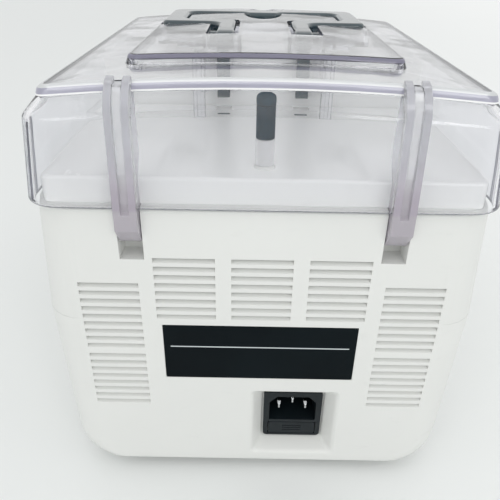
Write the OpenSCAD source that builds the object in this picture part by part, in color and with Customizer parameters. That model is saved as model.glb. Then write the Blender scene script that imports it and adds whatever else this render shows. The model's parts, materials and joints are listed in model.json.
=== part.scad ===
// Banknote strapping machine for 20 mm paper tape.
// Front at -Y, rear at +Y, +Z up, X to the right seen from the front.
// The origin is on the table, under the middle of the machine.

/* [Housing] */
// Width of the housing at the seam, where it is widest
body_w = 202; // [192:1:214]
// Depth of the housing, front face to rear face
body_d = 287.5; // [280:0.5:300]
// Height of the shoulder that the lid closes on
shoulder_z = 158.7; // [154:0.1:166]
// Height of the moulded seam
seam_z = 102; // [92:1:108]
// Lean of each side wall from the seam to the shoulder
side_draft = 3.5; // [1.5:0.5:4.5]
// Lean of each side wall from the seam down to the lower edge
belly_draft = 2.5; // [1:0.5:4]
// Wall of the white mouldings
wall = 2.5; // [2:0.1:3]
// Radius of the rear upright corners
rear_r = 20; // [16:1:24]
// Radius of the front upright corners
front_r = 12; // [9:1:16]
// Radius of the long lower edges
lower_r = 18; // [14:1:20]
// Radius of the front and rear lower edges
heel_r = 6; // [4:0.5:8]
// Rounding of the shoulder's outer edge
shoulder_r = 2.5; // [1.5:0.1:3]
// Height of the rubber feet below the housing
foot_h = 5; // [4:0.5:8]
// Diameter of a rubber foot
foot_d = 18; // [14:1:22]

/* [Rear face] */
// Length of one louvre
louvre_w = 26.8; // [24:0.2:29]
// Height of a louvre's opening on the outside
louvre_h = 2.4; // [1.8:0.1:2.8]
// Distance from one louvre to the next below it
louvre_pitch = 4.25; // [3.8:0.05:4.3]
// Distance between two columns of louvres
column_pitch = 33.8; // [32:0.1:35]
// Height of the uppermost louvre of the middle columns
louvre_top_z = 135.1; // [130:0.1:138]
// Rows in each of the three middle columns
short_rows = 8; // [5:1:8]
// Rows in each outer column
long_rows = 17; // [10:1:17]
// Width of the rating plate
plate_w = 90.4; // [80:0.2:96]
// Height of the rating plate
plate_h = 32; // [26:0.5:33]
// Height of the rating plate's middle
plate_z = 83.5; // [80:0.5:86]
// Offset of the mains inlet from the middle
inlet_x = -18.4; // [-30:0.2:-10]
// Height of the mains inlet's middle
inlet_z = 35; // [33:0.5:40]
// Width of the inlet's bezel
inlet_w = 30.5; // [29:0.1:32]
// Height of the inlet's bezel
inlet_h = 31.1; // [30:0.1:33]
// Depth of the inlet's face behind the rear face
inlet_recess = 7.7; // [5:0.1:9]

/* [Deck] */
// Gap between the raised deck and the inside of the lid's rim
deck_gap = 5.2; // [4.6:0.1:8]
// Height of the deck above the shoulder
deck_h = 11.3; // [9:0.1:14]
// Distance of the deck's rear side from the rear face
deck_inset = 7.5; // [7:0.1:10]
// Place of the joint between deck and head cover
deck_front_y = 28; // [24:1:29]
// Height of the head cover above the shoulder
head_h = 35; // [30:1:36]
// Diameter of the tape guide post
post_d = 8; // [7:0.2:10]
// Distance of the guide post from the rear face
post_inset = 19.5; // [17:0.5:24]

/* [Lid] */
// How far the lid's rim stands in from the housing's widest line
lid_in = 2; // [0.5:0.5:4]
// Lean of the lid's sides over their height
lid_draft = 4; // [2:0.5:5]
// How far the lid's rim stands out from the rear face
lid_proud = 2.5; // [2:0.1:3]
// Distance of the lid's front rim behind the housing's front face
lid_front_in = 54; // [50:1:58]
// Height of the lid's straight walls
lid_wall_h = 37; // [35:0.5:41]
// Radius along the lid's upper edge
lid_edge_r = 12; // [9:0.5:14]
// Wall of the lid
lid_t = 2.4; // [2:0.1:3]
// Rise of the lid's top from its sides to its middle
lid_crown = 4; // [2.5:0.1:5]
// Width of the handle tray
tray_w = 121; // [118:1:126]
// Height of the handle tray above the lid's top
tray_rise = 3.5; // [2.5:0.1:4.5]
// Distance of the hinge arms from the middle
arm_x = 55.7; // [50:0.1:60]
// Width of a hinge arm
arm_w = 9.5; // [8:0.1:11]
// Diameter of the hinge pins
hinge_pin_d = 3; // [2.5:0.1:4]

/* [Handle] */
// Outer width of the carrying handle
handle_w = 115; // [106:1:115]
// Thickness of the handle
handle_t = 8.5; // [7:0.5:9]
// Width of the grip and the arms
grip_w = 12; // [10:0.5:14]
// Reach of the handle from its pivots to the grip's front
handle_reach = 82; // [78:1:84]
// Distance of the feet from the middle
foot_x = 21.5; // [20:0.5:24]
// Width of a handle foot
handle_foot_w = 14; // [12:0.5:15]
// Drop of the latch tongues while the handle is raised
latch_drop = 8; // [6:0.5:9]

/* [Front] */
// Height at which the sloping panel starts
panel_z = 112; // [110:1:116]
// Run of the sloping panel towards the rear
panel_run = 34; // [30:1:38]
// Width of the mouth for the notes
mouth_w = 96; // [90:1:98]
// Height of the mouth
mouth_h = 34; // [30:1:35]
// Height of the mouth's floor
mouth_z = 64; // [62:0.5:66]
// Width of the paper tape
tape_w = 20; // [19:0.5:21]
// Travel of a key
key_travel = 1.2; // [0.8:0.1:1.5]

/* [Drives] */
// Module of the gears
gear_m = 0.8; // [0.7:0.05:0.9]
// Radius of the feed roller
feed_r = 11; // [10:0.5:12]
// Radius of the pinch roller
pinch_r = 8; // [7:0.5:9]
// Diameter of the shafts
shaft_d = 6; // [5:0.5:7]
// Lift of the two tape clamps
clamp_lift = 3; // [2:0.5:3]
// Lift of the heated press and the cutter
press_lift = 4; // [3:0.5:4]

/* [Hidden] */

white = [0.92, 0.91, 0.89];
clear = [0.80, 0.80, 0.88, 0.45];
black = [0.08, 0.10, 0.12];
teal = [0.12, 0.17, 0.19];
steel = [0.72, 0.73, 0.75];
green = [0.10, 0.36, 0.20];
copper = [0.72, 0.42, 0.22];

slip = 0.05;   // gap round a pin or screw that doesn't turn
run = 0.06;    // gap round a shaft that turns
gap = 0.3;     // gap between pieces that pass each other

arm_proud = 4.5;
front_y = -(body_d + arm_proud) / 2;
rear_y = front_y + body_d;
sheet_t = 2;

// ---- outlines ----

// Points of an arc about c, from angle a0 to a1
function arc(c, r, a0, a1, n) = [for (i = [0:n]) let (a = a0 + (a1 - a0) * i / n)
    [c[0] + r * cos(a), c[1] + r * sin(a)]];

// A rectangle with round corners: half width, front and rear, corner radii, points per corner,
// and m extra points along the front and rear sides
function plan_ring(hw, y0, y1, rf, rr, n, m) = concat(
    arc([hw - rr, y1 - rr], rr, 0, 90, n),
    [for (i = [1:1:m]) [(hw - rr) * (1 - 2 * i / (m + 1)), y1]],
    arc([rr - hw, y1 - rr], rr, 90, 180, n),
    arc([rf - hw, y0 + rf], rf, 180, 270, n),
    [for (i = [1:1:m]) [(rf - hw) * (1 - 2 * i / (m + 1)), y0]],
    arc([hw - rf, y0 + rf], rf, 270, 360, n));

function unit(v) = v / norm(v);

// A polygon whose corners [x, y, r] are rounded to the radius r
function round_path(c, n) = [for (i = [0:len(c) - 1])
    let (p = [c[i][0], c[i][1]], r = c[i][2],
        b = c[(i + len(c) - 1) % len(c)], f = c[(i + 1) % len(c)],
        u = unit([b[0], b[1]] - p), v = unit([f[0], f[1]] - p),
        half = acos(u * v) / 2, d = r / tan(half), o = p + unit(u + v) * r / sin(half),
        s = p + u * d - o, e = p + v * d - o,
        a0 = atan2(s[1], s[0]), turn = atan2(s[0] * e[1] - s[1] * e[0], s * e))
    each (r == 0 ? [p] : arc(o, r, a0, a0 + turn, n))];

// A box with its four upright corners rounded
module slab(x0, y0, z0, x1, y1, z1, r, n = 5) {
    translate([0, 0, z0]) linear_extrude(z1 - z0)
        polygon(round_path([[x0, y0, r], [x1, y0, r], [x1, y1, r], [x0, y1, r]], n));
}

// A box given by two corners
module block(a, b) {
    translate(a) cube(b - a);
}

// A side view [y, z], extruded along X about the middle x
module along_x(x, w) {
    translate([x - w / 2, 0, 0]) rotate([90, 0, 90]) linear_extrude(w) children();
}

// A rod along X or Y through a point
module rod_x(p, r, w) {
    translate(p) rotate([0, 90, 0]) cylinder(r = r, h = w, center = true, $fn = 48);
}
module rod_y(p, r, w) {
    translate(p) rotate([90, 0, 0]) cylinder(r = r, h = w, center = true, $fn = 48);
}

// Skins a stack of rings that all have as many points; a closed stack joins its ends
module loft(rings, closed = false) {
    n = len(rings[0]);
    k = len(rings);
    pts = [for (r = rings) each r];
    sides = [for (i = [0:(closed ? k - 1 : k - 2)]) for (j = [0:n - 1])
        let (i2 = (i + 1) % k, j2 = (j + 1) % n)
        each [[i * n + j, i2 * n + j, i2 * n + j2], [i * n + j, i2 * n + j2, i * n + j2]]];
    caps = closed ? [] : [[for (j = [0:n - 1]) j], [for (j = [0:n - 1]) (k - 1) * n + n - 1 - j]];
    polyhedron(pts, concat(sides, caps), convexity = 8);
}

// Corner of a rounded edge: how far a quarter circle stands in at a height above its foot
function inset(r, h) = h >= r ? 0 : r - sqrt(r * r - (r - h) * (r - h));

// ---- housing ----

slope = atan2(shoulder_z - panel_z, panel_run);
panel_len = norm([panel_run, shoulder_z - panel_z]);

function body_hw(z) = body_w / 2 - (z > seam_z
    ? side_draft * (z - seam_z) / (shoulder_z - seam_z)
    : belly_draft * (seam_z - z) / (seam_z - foot_h - lower_r) * (z < foot_h + lower_r
        ? (seam_z - foot_h - lower_r) / (seam_z - z) : 1));
function body_front(z) = front_y + max(0, z - panel_z) * panel_run / (shoulder_z - panel_z);

function body_ring(z) = let (h = z - foot_h, t = shoulder_z - z,
        i = inset(lower_r, h), e = inset(heel_r, h), s = inset(shoulder_r, t))
    [for (p = plan_ring(body_hw(z) - i - s, body_front(z) + e, rear_y - e - s,
        front_r, rear_r - s, 6, 0)) [p[0], p[1], z]];
function cavity_ring(z) = let (h = z - foot_h - wall, i = inset(lower_r - wall, h),
        e = inset(heel_r - wall, h), f = wall / sin(z > panel_z ? slope : 90))
    [for (p = plan_ring(body_hw(z) - wall - i, body_front(z) + f + e, rear_y - wall - e,
        front_r - wall, rear_r - wall, 6, 0)) [p[0], p[1], z]];

lower_z = [for (a = [0:18:90]) foot_h + lower_r * (1 - cos(a))];
upper_z = [for (a = [0:30:90]) shoulder_z - shoulder_r * (1 - sin(a))];
cavity_top = shoulder_z - wall;

axis_y = rear_y - 5;
axis_z = shoulder_z - 12.7;
barrel_r = 4.8;
pocket_w = arm_w + 1;
pocket_d = 13.5;
pocket_drop = 11.7;
boss_l = 6;
boss_r = hinge_pin_d / 2 + 2;

lid_hw = body_w / 2 - lid_in;
rim_z = shoulder_z + gap;
lid_z1 = rim_z + lid_wall_h;
lid_top = lid_z1 + lid_edge_r + 0.5;
lid_rear = rear_y + lid_proud;
lid_len = lid_rear - front_y - lid_front_in;
crown_r = pow(lid_hw - lid_draft, 2) / (2 * lid_crown);
rim_r = 16;
front_lean = 17;
tray_hw = tray_w / 2;
tray_y0 = -60;
tray_y1 = rear_y - 38.5;
tray_r = 7;

function lid_front(z) = lid_rear - lid_len + front_lean * (z - shoulder_z) / lid_wall_h;

deck_hw = lid_hw - lid_t - deck_gap;
deck_rear_y = rear_y - deck_inset;
deck_z = shoulder_z + deck_h;
head_hw = deck_hw - 3;
head_z = shoulder_z + head_h;
head_front_y = lid_front(shoulder_z) + 8;

base_hw = body_w / 2 - 31;
base_z = foot_h + wall;
base_drill = base_z + 4 * sheet_t;
screw_r = 2;
screw_hw = base_hw + 4;
foot_hw = base_hw - 12;
base_y1 = rear_y - 33.5;
screw_spots = [for (x = [-screw_hw, screw_hw]) for (y = [front_y + 28, 0, base_y1]) [x, y]];
foot_spots = [for (x = [-foot_hw, foot_hw]) for (y = [front_y + 34, base_y1]) [x, y]];

function louvre_z(k) = louvre_top_z - k * louvre_pitch;
long_top = louvre_z(3) - 0.35;
long_break = 9;
row_break = 1.83;
louvre_slit = 1.2;

module louvre(x, z) {
    translate([x - louvre_w / 2, 0, z]) rotate([90, 0, 90]) linear_extrude(louvre_w)
        polygon([[rear_y + 1, 0], [rear_y + 1, -louvre_h], [rear_y, -louvre_h],
            [rear_y - wall, -louvre_slit], [rear_y - wall - 1, -louvre_slit],
            [rear_y - wall - 1, 0]]);
}

module louvres() {
    for (c = [-1:1]) for (k = [0:short_rows - 1]) louvre(c * column_pitch, louvre_z(k));
    for (c = [-2, 2]) for (k = [0:long_rows - 1])
        louvre(c * column_pitch, long_top - k * louvre_pitch - (k < long_break ? 0 : row_break));
}

inlet_face_y = rear_y - inlet_recess;
bezel_t = 2;
recess_gap = 0.6;
recess_flare = 3;
inlet_body_w = inlet_w - 3;
inlet_body_h = inlet_h - 3;

well_y = inlet_face_y - bezel_t;

function well_half(size, y) = size / 2 + recess_gap
    + recess_flare * (y - well_y) / (rear_y - well_y);

// The flared space that the mains inlet sits in, between two depths
module inlet_space(grow, y0, y1) {
    w0 = well_half(inlet_w, y0) + grow;
    w1 = well_half(inlet_w, y1) + grow;
    h0 = well_half(inlet_h, y0) + grow;
    h1 = well_half(inlet_h, y1) + grow;
    intersection() {
        translate([inlet_x, 0, inlet_z - h1 - 1]) linear_extrude(2 * h1 + 2)
            polygon([[-w0, y0], [w0, y0], [w1, y1], [-w1, y1]]);
        along_x(inlet_x, 2 * w1 + 2)
            polygon([[y0, inlet_z - h0], [y0, inlet_z + h0], [y1, inlet_z + h1], [y1, inlet_z - h1]]);
    }
}

module hinge_pocket_walls(x) {
    block([x - pocket_w / 2 - wall, rear_y - pocket_d, axis_z - pocket_drop - wall],
        [x + pocket_w / 2 + wall, rear_y - wall / 2, shoulder_z - wall / 2]);
    rod_x([x, axis_y, axis_z], boss_r, pocket_w + 2 * boss_l);
}

module hinge_pocket(x) {
    block([x - pocket_w / 2, rear_y - pocket_d + wall, axis_z - pocket_drop],
        [x + pocket_w / 2, rear_y + 1, shoulder_z + 1]);
    rod_x([x, axis_y, axis_z], hinge_pin_d / 2 + slip, pocket_w + 2 * boss_l - 2);
}

module on_panel(z = 0) {
    translate([0, front_y + panel_run / 2, (panel_z + shoulder_z) / 2])
        rotate([slope, 0, 0]) translate([0, 0, z]) children();
}
panel_w = body_w - 52;
panel_h = panel_len - 16;

switch_w = 21;
switch_h = 15;
switch_y = -70;
switch_z = 62;
switch_x = body_hw(switch_z - switch_h) - 0.8;
switch_rim = 2.8;
rocker_in = 2;
rocker_axle_r = 1.2;

module switch_box(grow, x0, x1) {
    block([x0, switch_y - switch_w / 2 - grow, switch_z - switch_h / 2 - grow],
        [x1, switch_y + switch_w / 2 + grow, switch_z + switch_h / 2 + grow]);
}

module housing() {
    color(white) difference() {
        union() {
            difference() {
                loft([for (z = concat(lower_z, [seam_z, panel_z], upper_z)) body_ring(z)]);
                loft([for (z = concat([for (a = [0:22.5:90]) base_z + (lower_r - wall)
                    * (1 - cos(a))], [seam_z, panel_z, cavity_top])) cavity_ring(z)]);
            }
            for (s = [-1, 1]) hinge_pocket_walls(s * arm_x);
        }
        for (s = [-1, 1]) hinge_pocket(s * arm_x);
        block([-base_hw, front_y + 13, 0], [base_hw, rear_y - 13, base_z + 1]);
        block([-deck_hw + 5, head_front_y + 5, cavity_top - 1],
            [deck_hw - 5, rear_y - pocket_d - 8, shoulder_z + 1]);
        louvres();
        inlet_space(wall + slip, well_y - 2 * wall, rear_y + 1);
        block([-plate_w / 2, rear_y - 0.8, plate_z - plate_h / 2],
            [plate_w / 2, rear_y + 1, plate_z + plate_h / 2]);
        block([-mouth_w / 2 - wall, front_y - 1, mouth_z - wall],
            [mouth_w / 2 + wall, front_y + 2 * wall, mouth_z + mouth_h + wall]);
        on_panel() block([-panel_w / 2, -panel_h / 2, -2 * wall], [panel_w / 2, panel_h / 2, 1]);
        switch_box(switch_rim + 0.2, switch_x, switch_x + 9);
        switch_box(0, switch_x - 9, switch_x + 9);
        for (p = screw_spots)
            translate([p[0], p[1], foot_h - 1]) cylinder(r = screw_r + slip, h = 9, $fn = 32);
    }
}

module inlet_surround() {
    color(white) difference() {
        inlet_space(wall, well_y - wall, rear_y);
        inlet_space(0, well_y, rear_y + 1);
        block([inlet_x - inlet_body_w / 2 - slip, rear_y - 40, inlet_z - inlet_body_h / 2 - slip],
            [inlet_x + inlet_body_w / 2 + slip, rear_y, inlet_z + inlet_body_h / 2 + slip]);
    }
}

base_plate_hw = base_hw + 8;

module base_pan() {
    color(steel) difference() {
        slab(-base_plate_hw, front_y + 10, base_z, base_plate_hw, rear_y - 12, base_z + sheet_t, 10);
        for (p = screw_spots)
            translate([p[0], p[1], 0]) cylinder(r = screw_r + slip, h = base_drill, $fn = 32);
    }
}

module feet() {
    color(black) for (p = foot_spots) translate([p[0], p[1], 0]) union() {
        cylinder(r1 = foot_d / 2 - 1, r2 = foot_d / 2, h = 1, $fn = 48);
        translate([0, 0, 1]) cylinder(r = foot_d / 2, h = base_z - 1, $fn = 48);
    }
}

module base_screws() {
    color(steel) for (p = screw_spots) translate([p[0], p[1], 0]) union() {
        translate([0, 0, foot_h - 1.6]) cylinder(r = 2 * screw_r, h = 1.6, $fn = 32);
        translate([0, 0, foot_h - 1]) cylinder(r = screw_r, h = 9, $fn = 32);
    }
}

// ---- deck, head cover and guide post ----

slot_w = 9;
slot_d = 7;
post_y = rear_y - post_inset;
post_top = shoulder_z + 42.7;
rod_r = 2;

module top_deck() {
    color(white) difference() {
        union() {
            slab(-deck_hw, deck_front_y + gap / 2, shoulder_z, deck_hw, deck_rear_y, deck_z, 4);
            translate([0, post_y, deck_z - 1]) cylinder(r = post_d / 2 + 0.6, h = 2.2, $fn = 48);
        }
        slab(-deck_hw + wall, deck_front_y + gap / 2 + wall, shoulder_z - 1, deck_hw - wall,
            deck_rear_y - wall, deck_z - wall, 2);
        for (s = [-1, 1]) block([s * foot_x - slot_w / 2, tongue_y - slot_d / 2, shoulder_z],
            [s * foot_x + slot_w / 2, tongue_y + slot_d / 2, deck_z + 1]);
        translate([0, post_y, shoulder_z]) cylinder(r = rod_r + slip, h = 20, $fn = 32);
    }
}

module head_cover() {
    t = wall;
    color(white) difference() {
        along_x(0, 2 * head_hw) polygon([[head_front_y, shoulder_z],
            [deck_front_y - gap / 2, shoulder_z], [deck_front_y - gap / 2, head_z],
            [head_front_y + 17, head_z], [head_front_y, shoulder_z + 4]]);
        along_x(0, 2 * head_hw - 2 * t) polygon([[head_front_y + t, shoulder_z - 1],
            [deck_front_y - gap / 2 - t, shoulder_z - 1], [deck_front_y - gap / 2 - t, head_z - t],
            [head_front_y + 17 + t / 2, head_z - t], [head_front_y + t, shoulder_z + 4]]);
    }
}

module post_rod() {
    color(steel) translate([0, post_y, 0]) union() {
        translate([0, 0, deck_z - wall - 3]) cylinder(r = 3.5, h = 3, $fn = 6);
        translate([0, 0, deck_z - wall - 0.5])
            cylinder(r = rod_r, h = post_top - 3 - deck_z + wall, $fn = 32);
    }
}

module post_sleeve(z0, z1, play) {
    translate([0, post_y, z0]) difference() {
        cylinder(r = post_d / 2, h = z1 - z0, $fn = 48);
        translate([0, 0, -1]) cylinder(r = rod_r + play, h = z1 - z0 + 2, $fn = 32);
    }
}

module post_tube() {
    color(clear) post_sleeve(deck_z + 1.2, deck_z + 12.5, slip);
}

module guide_roller() {
    color(teal) post_sleeve(deck_z + 12.6, deck_z + 26, run);
}

module post_cap() {
    z0 = deck_z + 26.1;
    r = post_d / 2;
    color(teal) translate([0, post_y, z0]) difference() {
        rotate_extrude($fn = 48) polygon(concat([[0, 0], [r - 0.4, 0]],
            arc([r - 2.2, post_top - z0 - 2.2], 2.2, 0, 90, 6), [[0, post_top - z0]]));
        translate([0, 0, -1]) cylinder(r = rod_r + slip, h = post_top - z0 - 1, $fn = 32);
    }
}

module rating_plate() {
    color(black) block([-plate_w / 2 + slip, rear_y - 0.8, plate_z - plate_h / 2 + slip],
        [plate_w / 2 - slip, rear_y, plate_z + plate_h / 2 - slip]);
}

// ---- mains inlet ----

socket_w = 24.4;
socket_h = 16.4;
socket_z = inlet_z + inlet_h / 2 - 3 - socket_h / 2;
socket_d = 17;
socket_cut = 4;
drawer_w = 25;
drawer_h = 8;
drawer_z = inlet_z - inlet_h / 2 + 1.6 + drawer_h / 2;
drawer_d = 17;
inlet_back = inlet_face_y - 22;

// The outline of the socket's cavity, with its two upper corners cut
module socket_2d(grow) {
    w = socket_w / 2 + grow;
    h = socket_h / 2 + grow;
    polygon([[-w, -h], [w, -h], [w, h - socket_cut], [w - socket_cut, h],
        [socket_cut - w, h], [-w, h - socket_cut]]);
}

// Extrudes a view from the rear, [x, z], between two depths
module from_rear(x, z, y0, y1) {
    translate([x, y1, z]) rotate([90, 0, 0]) linear_extrude(y1 - y0) children();
}

module inlet_housing() {
    color(black) difference() {
        union() {
            from_rear(inlet_x, inlet_z, inlet_face_y - bezel_t, inlet_face_y)
                polygon(round_path([[-inlet_w / 2, -inlet_h / 2, 2], [inlet_w / 2, -inlet_h / 2, 2],
                    [inlet_w / 2, inlet_h / 2, 1], [-inlet_w / 2, inlet_h / 2, 1]], 4));
            from_rear(inlet_x, inlet_z, inlet_back, inlet_face_y - bezel_t)
                square([inlet_body_w, inlet_body_h], center = true);
        }
        from_rear(inlet_x, socket_z, inlet_face_y - socket_d, inlet_face_y + 1) socket_2d(0);
        from_rear(inlet_x, drawer_z, inlet_face_y - drawer_d - 0.5, inlet_face_y + 1)
            square([drawer_w + 2 * gap, drawer_h + 2 * gap], center = true);
        for (p = pin_spots) from_rear(inlet_x + p[0], socket_z + p[1], inlet_back - 1, inlet_face_y)
            square([pin_w, pin_h], center = true);
    }
}

pin_w = 2;
pin_h = 5;
pin_spots = [[-7, -1.5], [7, -1.5], [0, 2.5]];
pin_tip = 3;

module inlet_pins() {
    color(steel) for (p = pin_spots)
        from_rear(inlet_x + p[0], socket_z + p[1], inlet_back - 7, inlet_face_y - pin_tip)
            square([pin_w - 2 * slip, pin_h - 2 * slip], center = true);
}

fuse_r = 2.5;
fuse_y = inlet_face_y - 9;
module fuse_drawer() {
    color(black) difference() {
        from_rear(inlet_x, drawer_z, inlet_face_y - drawer_d, inlet_face_y)
            polygon(round_path([[-drawer_w / 2, -drawer_h / 2, 1], [drawer_w / 2, -drawer_h / 2, 1],
                [drawer_w / 2, drawer_h / 2, 1], [-drawer_w / 2, drawer_h / 2, 1]], 3));
        block([inlet_x - 10.4, fuse_y - 3, drawer_z - 2.8], [inlet_x + 10.4, fuse_y + 3, drawer_z + 6]);
        for (k = [-1:1]) block([inlet_x - 5, inlet_face_y - 0.5, drawer_z + k * 1.6 - 0.3],
            [inlet_x + 5, inlet_face_y + 1, drawer_z + k * 1.6 + 0.3]);
    }
}

module fuse() {
    color(steel) rod_x([inlet_x, fuse_y, drawer_z - 2.8 + fuse_r + slip], fuse_r, 20);
}

// ---- lid ----

function crown(x) = x * x / (2 * crown_r);

// One ring of the lid's skin: d is the wall's depth, u the share of the walls' height and
// a the angle round the upper edge
function lid_ring(d, u, a) = let (r = lid_edge_r - d, i = d + lid_draft * u + r * (1 - cos(a)),
        f = d + front_lean * u + r * (1 - cos(a)), rc = max(0.8, rim_r - i),
        z = rim_z + lid_wall_h * u)
    [for (p = plan_ring(lid_hw - i, lid_rear - lid_len + f, lid_rear - i, rc, rc, 6, 5))
        [p[0], p[1], z + sin(a) * (r + 0.5 - crown(p[0]))]];
function tray_ring(z) = [for (p = plan_ring(tray_hw, tray_y0, tray_y1, tray_r, tray_r, 6, 5))
    [p[0], p[1], z - crown(p[0])]];

lid_edge = [for (a = [0:15:90]) a];
lid_rings = concat([lid_ring(0, 0, 0)], [for (a = lid_edge) lid_ring(0, 1, a)],
    [tray_ring(lid_top), tray_ring(lid_top - lid_t)],
    [for (a = lid_edge) lid_ring(lid_t, 1, 90 - a)], [lid_ring(lid_t, 0, 0)]);

arm_proud_y = rear_y + arm_proud;
arm_lean = lid_draft - 0.5;
ear_l = 11.5;
ear_y = arm_proud_y - arm_lean - ear_l;

// The hinge arm's outline in the side view
module arm_2d() {
    y1 = arm_proud_y;
    lean = arm_lean;
    polygon(concat(
        arc([axis_y, axis_z], barrel_r, 180, 330, 12),
        [[y1, axis_z + 4], [y1 - 0.3, rim_z], [y1 - lean, lid_z1 + 2],
            [y1 - lean - 3.5, lid_z1 + 8], [y1 - lean - 7.5, lid_top - 1],
            [y1 - lean - ear_l + 0.6, lid_top], [ear_y, lid_top - 0.6], [ear_y, lid_top - 3.6],
            [axis_y - 7.5, lid_top - 4.2], [axis_y - 7.5, deck_z + 7],
            [axis_y - 2, deck_z + 1], [axis_y - 2, axis_z + 6]]));
}

module hinge_arms() {
    color(clear) for (s = [-1, 1]) difference() {
        along_x(s * arm_x, arm_w) arm_2d();
        along_x(s * arm_x, arm_w - 6) polygon([[arm_proud_y - 2, axis_z + 12],
            [arm_proud_y + 5, axis_z + 8], [arm_proud_y + 5, lid_top + 9],
            [ear_y - 1, lid_top + 9], [ear_y - 1, lid_top - 2], [arm_proud_y - 9, lid_top - 3],
            [arm_proud_y - 6, lid_z1 + 4]]);
        rod_x([s * arm_x, axis_y, axis_z], hinge_pin_d / 2 + run, arm_w + 2);
    }
}

module hinge_pins() {
    color(steel) for (s = [-1, 1])
        rod_x([s * arm_x, axis_y, axis_z], hinge_pin_d / 2, pocket_w + 2 * boss_l - 3);
}

module lid_shell() {
    color(clear) difference() {
        loft(lid_rings, closed = true);
        for (s = [-1, 1]) block([s * arm_x - arm_w / 2 - slip, ear_y - slip, rim_z - 1],
            [s * arm_x + arm_w / 2 + slip, arm_proud_y + 1, lid_top + 3]);
    }
}

// ---- handle, its tray and the latch ----

pivot_y = 35;
pivot_z = lid_top - 2;
grip_y = pivot_y - handle_reach;
hand_hw = handle_w / 2;
wing_y = pivot_y - 36;
foot_in = foot_x - handle_foot_w / 2;
foot_out = foot_x + handle_foot_w / 2;
cam_r = 4.5;
heel = cam_r + latch_drop;
hand_z0 = pivot_z - 2.5;
well_gap = 1.2;
well_wall = 1.6;
well_z = pivot_z - 6.5;
handle_pin_r = 1.5;
tongue_w = 7;
tongue_t = 5;
tongue_y = pivot_y;
tongue_top = pivot_z - cam_r - gap;
tongue_end = deck_z + 6.4;

// The handle's outline from above; grow widens it for the well
function handle_path(g, y_end) = [
    [-hand_hw - g, grip_y - g, 9], [hand_hw + g, grip_y - g, 9],
    [hand_hw + g, wing_y + grip_w + g, 5], [foot_out + g, wing_y + grip_w + g, 3],
    [foot_out + g, y_end, 1.5], [foot_in - g, y_end, 1.5], [foot_in - g, wing_y - g, 5],
    [hand_hw - grip_w - g, wing_y - g, 5], [hand_hw - grip_w - g, grip_y + grip_w + g, 6],
    [11, grip_y + grip_w + g, 0], [9, grip_y + grip_w + 4 + g, 2], [-9, grip_y + grip_w + 4 + g, 2],
    [-11, grip_y + grip_w + g, 0],
    [grip_w - hand_hw + g, grip_y + grip_w + g, 6], [grip_w - hand_hw + g, wing_y - g, 5],
    [g - foot_in, wing_y - g, 5], [g - foot_in, y_end, 1.5], [-foot_out - g, y_end, 1.5],
    [-foot_out - g, wing_y + grip_w + g, 3], [-hand_hw - g, wing_y + grip_w + g, 5]];

module handle_2d(g, y_end) {
    polygon(round_path(handle_path(g, y_end), 4));
}

// A slab between two surfaces that follow the lid's crown
module crowned(z0, z1) {
    translate([0, tray_y1 + 5, 0]) rotate([90, 0, 0]) linear_extrude(tray_y1 - tray_y0 + 10)
        difference() {
            translate([0, z1 - crown_r]) circle(r = crown_r, $fn = 360);
            translate([0, z0 - crown_r]) circle(r = crown_r, $fn = 360);
            translate([-2 * crown_r, -4 * crown_r]) square([4 * crown_r, 4 * crown_r + z0 - 20]);
        }
}

module tray_prism(grow) {
    slab(-tray_hw - grow, tray_y0 - grow, lid_top - 30, tray_hw + grow, tray_y1 + grow,
        lid_top + 10, tray_r + grow, 6);
}

flange_w = 3;
skirt_t = 2.4;
module handle_tray() {
    top = lid_top + tray_rise;
    under = lid_top - lid_t - gap;
    color(clear) difference() {
        union() {
            intersection() {
                crowned(top - skirt_t, top);
                tray_prism(-slip);
            }
            intersection() {
                crowned(under - 2, top - 1);
                difference() {
                    tray_prism(-slip);
                    tray_prism(-skirt_t);
                }
            }
            intersection() {
                crowned(under - 2, under);
                difference() {
                    tray_prism(flange_w);
                    tray_prism(-skirt_t);
                }
            }
            translate([0, 0, well_z - well_wall]) linear_extrude(top - 3 - well_z + well_wall)
                handle_2d(well_gap + well_wall, pivot_y + heel + 2 * well_gap + well_wall);
            for (s = [-1, 1]) block([s * (foot_out + 3) - 5, pivot_y + 4, well_z - well_wall],
                [s * (foot_out + 3) + 5, pivot_y + 14, well_z]);
        }
        translate([0, 0, well_z]) linear_extrude(30)
            handle_2d(well_gap, pivot_y + heel + 2 * well_gap);
        for (s = [-1, 1]) {
            block([s * foot_x - handle_foot_w / 2 - well_gap, pivot_y - 6, well_z - 5],
                [s * foot_x + handle_foot_w / 2 + well_gap, pivot_y + heel + 2 * well_gap, well_z + 1]);
            rod_x([s * foot_x, pivot_y, pivot_z], handle_pin_r + slip, handle_foot_w + 20);
        }
    }
}

// The cam that presses a latch tongue: its radius grows evenly over a quarter turn
function cam_points(c, r, lift, a0, dir) = [for (a = [0:6:90])
    let (q = r + lift * a / 90, t = a0 + dir * a) [c[0] + q * cos(t), c[1] + q * sin(t)]];

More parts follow.
